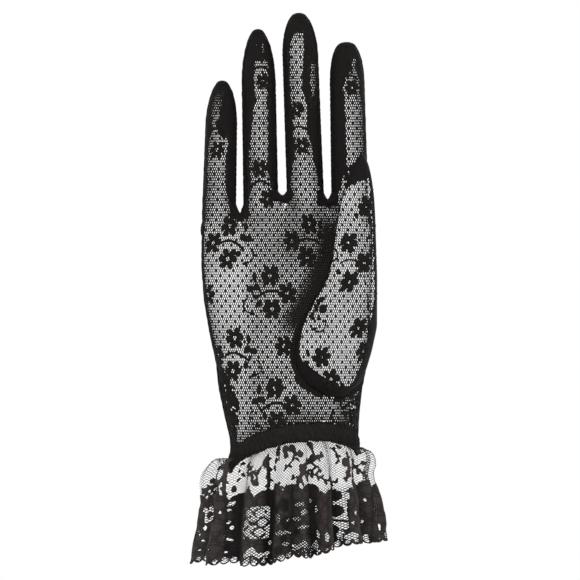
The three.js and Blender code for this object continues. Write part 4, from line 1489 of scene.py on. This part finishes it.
def ovalColumn(a, t):      # the open column with two solid ovals, a bar and a ring, and arches at its foot
    solid = [ovalField(a - shift, t - dt, 2.3, 3.2) for dt, shift in ((28.5, 0.8), (36.5, 1.0))]
    solid.append(np.abs(t - 41.0 - 0.35 * a) - 0.6)
    solid.append(np.abs(ovalField(a + 2.4, t - 32.4, 1.5, 2.2)) - 0.3)
    column = np.max([np.abs(a) - 4.0, t - 45.0 + 1.5 * np.cos(a), -np.min(solid, axis=0)], axis=0)
    left, right = (ovalField(a + shift, t - 49.5, 1.5, 4.0) for shift in (-1.9, 1.9))
    arches = np.minimum(np.abs(left), np.abs(right)) - 0.3
    slots = np.max([np.minimum(left, right), -arches, 0.5 - np.abs(np.sin(t * 3.0)) * 0.9], axis=0)
    return np.minimum(column, slots)


def smallWindows(s, t):      # below nought in the small openings and in the middle of each scallop
    tab = (s / lace["hemTabs"]) % 1.0 * lace["hemTabs"] - lace["hemTabs"] / 2
    value = ovalField(tab, t - lace["hem"], 1.35, 0.85) + 0.4 * ripple(95, s, t * 0.0, 14.0)
    coarse, fine = ripple(96, s, t, 2.4), ripple(96, s, t, 2.0)
    seen = rufflePoint(s, t)
    for planX, planY, wide, tall, turn in windowPlan:
        x, z = fromPlan(planX, planY)
        across = (seen[:, 0] - x) * math.cos(turn) + (seen[:, 2] - z) * math.sin(turn)
        along = (seen[:, 2] - z) * math.cos(turn) - (seen[:, 0] - x) * math.sin(turn)
        torn = 0.25 + 0.45 * coarse if planX < lace["tornPlanX"] else 0.2 * fine
        value = np.minimum(value, ovalField(across, along, wide, tall) + torn)
    return value


def laceDense(s, t):      # above nought where the lower lace is dense
    value = t - lace["denseTop"] - 0.8 * np.sin(s * 1.3)
    a, kinds = columnPlace(s)
    hump = np.minimum(np.abs(a - lace["humpApart"]), np.abs(a + lace["humpApart"]))
    humps = lace["humpRadius"] - np.hypot(hump, t - lace["humpTop"] - lace["humpRadius"])
    value = np.where(kinds != "ovals", np.maximum(value, humps), value)
    value = np.where(kinds == "rosette", np.minimum(value, rosettePanel(a, t)), value)
    value = np.where(np.isin(kinds, ["rosette", "crowned"]), np.minimum(value, crownedHem(a, t)), value)
    value = np.where(kinds == "ovals", np.minimum(value, ovalColumn(a, t)), value)
    value = np.minimum(value, smallWindows(s, t)) + 0.25 * ripple(97, s, t, 1.9)
    return np.minimum(value, hemEdge(s) - t)


def vineDense(s, t):      # above nought on the stems and leaves of the upper lace
    value = np.full(len(s), -9.0)
    for path, width in vinePaths:
        for (s0, t0), (s1, t1) in zip(path[:-1], path[1:]):
            ds, dt = s1 - s0, t1 - t0
            share = np.clip(((s - s0) * ds + (t - t0) * dt) / (ds * ds + dt * dt + 1e-9), 0, 1)
            value = np.maximum(value, width / 2 - np.hypot(s - s0 - share * ds, t - t0 - share * dt))
    for s0, t0, wide, tall, turn in leafRows:
        a = (s - s0) * math.cos(turn) + (t - t0) * math.sin(turn)
        b = -(s - s0) * math.sin(turn) + (t - t0) * math.cos(turn)
        value = np.maximum(value, -ovalField(a, b, wide, tall))
    return value + 0.3 * ripple(98, s, t, 1.8)


vinePlan = [      # stems of the upper lace, as places of the plan, and their width
    ([(231, 455), (226, 472), (224, 490), (226, 500)], 3.0), ([(222, 480), (212, 487), (203, 493)], 2.2),
    ([(247, 465), (252, 473), (256, 479)], 0.8), ([(249, 463), (254, 471), (258, 477)], 0.8),
    ([(268, 455), (269, 475), (268, 500)], 2.4), ([(274, 486), (282, 490), (289, 493)], 0.9),
    ([(275, 483), (283, 487), (290, 490)], 0.9), ([(280, 452), (276, 462), (272, 470)], 0.8),
    ([(300, 478), (303, 466), (312, 459), (322, 455)], 2.6),
    ([(304, 470), (315, 474), (326, 479), (337, 482)], 1.3),
    ([(312, 461), (314, 452), (310, 447)], 1.5), ([(330, 447), (336, 452), (339, 462)], 1.2),
    ([(347, 452), (349, 470), (346, 480)], 2.2), ([(352, 459), (360, 470), (366, 476)], 2.0),
    ([(204, 497), (212, 492), (220, 495)], 1.0), ([(318, 466), (311, 470), (306, 477)], 1.3),
    ([(240, 500), (246, 494), (253, 489)], 0.7), ([(290, 480), (297, 476), (302, 479)], 0.9),
    ([(240, 462), (243, 470), (241, 478)], 0.5), ([(284, 470), (291, 461), (299, 455)], 0.8),
]
leafPlan = [      # place of the plan, half sizes in millimetres and turn
    (259, 470, 1.2, 3.2, 0.5), (256, 482, 2.6, 1.5, 0.4), (286, 449, 3.2, 2.2, 0.2),
    (295, 452, 2.0, 1.6, 0.6),
    (303, 468, 3.4, 2.6, 0.6), (313, 458, 3.0, 2.2, -0.4), (298, 481, 2.0, 1.5, 0.0),
    (320, 470, 1.8, 1.2, 0.4),
    (234, 489, 1.8, 2.2, 0.2), (226, 463, 2.2, 2.4, 0.3), (213, 481, 2.2, 1.3, -0.5),
    (219, 468, 1.8, 1.1, -0.6),
    (345, 462, 2.4, 2.8, 0.1), (358, 452, 2.0, 1.6, 0.6), (363, 463, 2.0, 1.4, 0.3),
    (353, 475, 2.4, 1.6, 0.2),
    (276, 460, 1.2, 1.6, 0.1), (330, 479, 1.6, 1.1, 0.4), (338, 446, 2.2, 1.4, 0.2),
    (310, 444, 2.4, 1.5, 0.1),
    (265, 461, 1.8, 2.4, 0.1), (280, 488, 1.6, 1.1, 0.3), (278, 450, 2.6, 2.8, 0.0),
    (292, 448, 3.2, 2.0, 0.2),
    (286, 455, 2.6, 1.6, 0.3), (300, 453, 2.4, 1.8, 0.5), (207, 489, 1.8, 1.2, 0.2),
    (249, 488, 1.0, 1.8, 0.3),
]
vinePaths = [([rufflePlan(x, y) for x, y in path], 0.7 * width) for path, width in vinePlan]
leafRows = [rufflePlan(x, y) + (0.85 * wide, 0.85 * tall, turn) for x, y, wide, tall, turn in leafPlan]


def leaflets():      # they stand off each stem by turns
    rows = []
    side = 1
    for path, _ in vinePaths:
        for (s0, t0), (s1, t1) in zip(path[:-1], path[1:]):
            long = math.hypot(s1 - s0, t1 - t0)
            for place in np.arange(1.2, long, 2.6):
                side = -side
                turn = math.atan2(t1 - t0, s1 - s0) + side * 0.9
                s2 = s0 + (s1 - s0) * place / long + 1.5 * math.cos(turn)
                t2 = t0 + (t1 - t0) * place / long + 1.5 * math.sin(turn)
                rows.append((s2, t2, 1.45, 0.62, turn))
    return rows


leafRows += leaflets()
clothS = np.arange(halfCloth[0] + 0.05, halfCloth[1], ruffle["cell"])
clothT = np.arange(0.4, 55.6, ruffle["cell"])


def ruffleDense(s, t):
    return np.maximum(laceDense(s, t), np.where(t < 30.0, vineDense(s, t), -9.0))


def backOf(part):
    return ruffleBehind(part[0]), flipped(part[1]), part[2]


frontRuffle = fill(clothS, clothT, ruffleDense, rufflePoint, ruffle["thickness"], 0.0)
whole = join([frontRuffle, backOf(frontRuffle)])


def ribbedFinish():
    made = Finish("ruffle_ribbed")
    cloth = made.node("ShaderNodeTexCoord", output=2)
    place = made.node("ShaderNodeTexCoord", output=3)
    acrossBands = {"bands_direction": "X", "wave_profile": "SIN"}
    downBands = {"bands_direction": "Y", "wave_profile": "SIN"}
    ribs = made.node("ShaderNodeTexWave", acrossBands, 1, Vector=cloth, Scale=0.55, Distortion=1.2, Detail=1.0)
    rows = made.node("ShaderNodeTexWave", downBands, 1, Vector=cloth, Scale=0.42, Distortion=0.8, Detail=1.0)
    patch = made.node("ShaderNodeTexNoise", Vector=place, Scale=95.0, Detail=4.0)
    fibre = made.node("ShaderNodeTexNoise", Vector=place, Scale=2600.0, Detail=2.0)
    grain = ribs * 0.4 + rows * 0.25 + fibre * 0.35
    # painted light and shade: along the ribs and rows the colour runs from a darker colour in the grooves,
    # painted shade, to a lighter one on the raised threads, a painted highlight; the patch noise in each is the
    # thread's own uneven tone
    grooveShade = made.mix(patch, (0.007, 0.006, 0.0055, 1.0), (0.022, 0.018, 0.0165, 1.0))
    raised = made.mix(patch, (0.028, 0.023, 0.021, 1.0), (0.084, 0.070, 0.064, 1.0))
    weaveToneAndFoldShade = made.node("ShaderNodeAttribute", {"attribute_name": "weaveToneAndFoldShade"}, 2)
    # painted shade: the attribute from foldShade takes the colour to near black in the valleys of the folds and
    # along the creases, as well as in the lace's own closest woven parts
    colour = made.mix(weaveToneAndFoldShade, (0.006, 0.005, 0.005, 1.0), made.mix(grain, grooveShade, raised))
    bump = made.node("ShaderNodeBump", Height=grain, Strength=0.8, Distance=0.0003)
    made.drive(Specular_IOR_Level=0.08, Sheen_Weight=0.01)
    return made.drive(Base_Color=colour, Roughness=patch * 0.2 + 0.5, Normal=bump)


ruffleCloth = addPiece("ruffle_cloth", *whole[:2], ribbedFinish(), "ruffle_lace", ["cuff_ruffle"], whole[2])


def foldShade(flat):      # painted shade: dark in the valleys of the folds and along the creases, and darker between the raised threads, where the lace's own weave is closest
    dip, _ = foldAt(np.interp(flat[:, 0], clothRun, fineAngles))
    return smooth(-5.2, 1.6, dip) * weaveToneAndCreaseShade(flat[:, 0], flat[:, 1])


weaveToneAndFoldShade = ruffleCloth.data.attributes.new("weaveToneAndFoldShade", "FLOAT", "POINT")
weaveToneAndFoldShade.data.foreach_set("value", foldShade(whole[2]).astype(np.float32))
diamond = {
    "wide": 1.1, "high": 1.3, "radius": 0.10,
    "denserNet": 0.20,           # the radius in the windows of the dense lace
    "shaded": 0.08,          # what the deep fold at the middle adds to it
}


def diamondNet():
    high = diamond["high"]
    places = [-89.5]      # columns an even way apart to the camera
    while places[-1] < 89.0:
        places.append(places[-1] + diamond["wide"] / 0.56 / max(0.45, math.cos(math.radians(places[-1]))))
    columnCount = len(places)
    rows = int(54.0 / (high / 2))
    j, i = np.mgrid[0:rows, 0:columnCount]
    s = np.interp(np.interp(i + (j % 2) / 2, np.arange(columnCount), places), fineAngles, clothRun)
    t = 0.6 + j * high / 2
    number = j * columnCount + i
    edges = []
    for shift in (0, 1):
        ii = i + np.where(j % 2 == 0, shift - 1, shift)
        good = (j + 1 < rows) & (ii >= 0) & (ii < columnCount)
        edges.append(np.stack([number[good], ((j + 1) * columnCount + ii)[good]], axis=1))
    flat = np.stack([s.ravel(), t.ravel()], axis=1)
    flat = flat + np.random.default_rng(61).normal(0, 0.03, flat.shape)
    flat[:, 0] = np.clip(flat[:, 0], halfCloth[0], halfCloth[1])
    keep = (ruffleDense(flat[:, 0], flat[:, 1]) < 0.8) & (flat[:, 1] < hemEdge(flat[:, 0]))
    return keepNet(flat, np.concatenate(edges), keep, keep)[:2]


def onBothFaces(points, edges, thick):
    return joinStrands([(points, edges, thick), (ruffleBehind(points), edges, thick)])


def ruffleStrands():
    flat, edges = diamondNet()
    s, t = flat.T
    points = rufflePoint(s, t)
    planX = points[:, 0] / glove["pitch"] + glove["planX"]
    shaded = smooth(266.0, 274.0, planX) * smooth(322.0, 314.0, planX) * smooth(20.0, 27.0, t)
    thick = diamond["radius"] + (diamond["denserNet"] - diamond["radius"]) * smooth(22.0, 28.0, t)
    uneven = 1 + 0.2 * ripple(99, s, t, 9.0)
    thick = (thick + diamond["shaded"] * shaded) * uneven * (1 + 0.35 * smooth(8.0, 1.0, t))
    return onBothFaces(points, edges, thick)


def hemCord():
    s = np.arange(halfCloth[0], halfCloth[1], 0.4)
    return onBothFaces(rufflePoint(s, hemEdge(s)), cordEdges(len(s)), np.full(len(s), ruffle["hemCord"]))


def clothArea(faces, flat):      # square millimetres of flat cloth under the faces
    corners = np.array([list(face) + [face[-1]] * (4 - len(face)) for face in faces])
    a, b, c = (flat[corners[:, i]] - flat[corners[:, 0]] for i in (1, 2, 3))
    twice = np.abs(a[:, 0] * b[:, 1] - a[:, 1] * b[:, 0]) + np.abs(b[:, 0] * c[:, 1] - b[:, 1] * c[:, 0])
    return float(np.sum(twice) / 2)


ruffleThread = finishes["ruffle_thread"]
ruffleNet = addStrands("ruffle_net", *ruffleStrands(), ruffleThread, "ruffle_lace", ["cuff_ruffle"])
ruffleHem = addStrands("ruffle_hem_cord", *hemCord(), ruffleThread, "ruffle_lace", ["cuff_ruffle"], 6)


flatLength = 2 * (halfCloth[1] - halfCloth[0]) / 1000
solidShare = clothArea(frontRuffle[1], frontRuffle[2]) / 1e6      # its two faces stand for front and back
stage("dense cloth %.4f of %.4f square metres" % (solidShare, flatLength * ruffle["length"] / 1000))

# Light and floor
world = bpy.data.worlds.new("World")
bpy.context.scene.world = world
world.use_nodes = True
world.node_tree.nodes["Background"].inputs["Color"].default_value = (1.0, 1.0, 1.0, 1.0)
world.node_tree.nodes["Background"].inputs["Strength"].default_value = 1.0
lamps = [      # name, place in metres, size and power
    ("key", (-0.9, -1.2, 1.0), 1.0, 9.0), ("side", (1.1, -0.9, 0.5), 0.9, 5.0),
    ("rear", (0.3, 1.2, 0.8), 1.0, 5.0)]
for name, place, size, power in lamps:
    lamp = bpy.data.objects.new(name, bpy.data.lights.new(name, "AREA"))
    lamp.data.size = size
    lamp.data.energy = power
    lamp.location = place
    aim = np.array([0.0, 0.0, 0.07]) - np.array(place)
    lamp.rotation_euler = (math.atan2(math.hypot(aim[0], aim[1]), -aim[2]), 0.0,
                           math.atan2(aim[1], aim[0]) - math.pi / 2)
    bpy.context.scene.collection.objects.link(lamp)

ring = np.linspace(0.0, 2.0 * math.pi, view["floorSides"] + 1)[:-1]
disc = np.stack([np.cos(ring), np.sin(ring), ring * 0]).T * view["floorRadius"] + [0.0, 0.0, view["floor"]]
mesh = bpy.data.meshes.new("floor")
mesh.from_pydata((disc / 1000).tolist(), [], [tuple(range(view["floorSides"]))])
pale = Finish("floor_pale")
pale.drive(Base_Color=(0.93, 0.93, 0.92, 1.0), Roughness=0.9, Specular_IOR_Level=0.1)
mesh.materials.append(pale.material)
floor = bpy.data.objects.new("floor", mesh)
bpy.context.scene.collection.objects.link(floor)
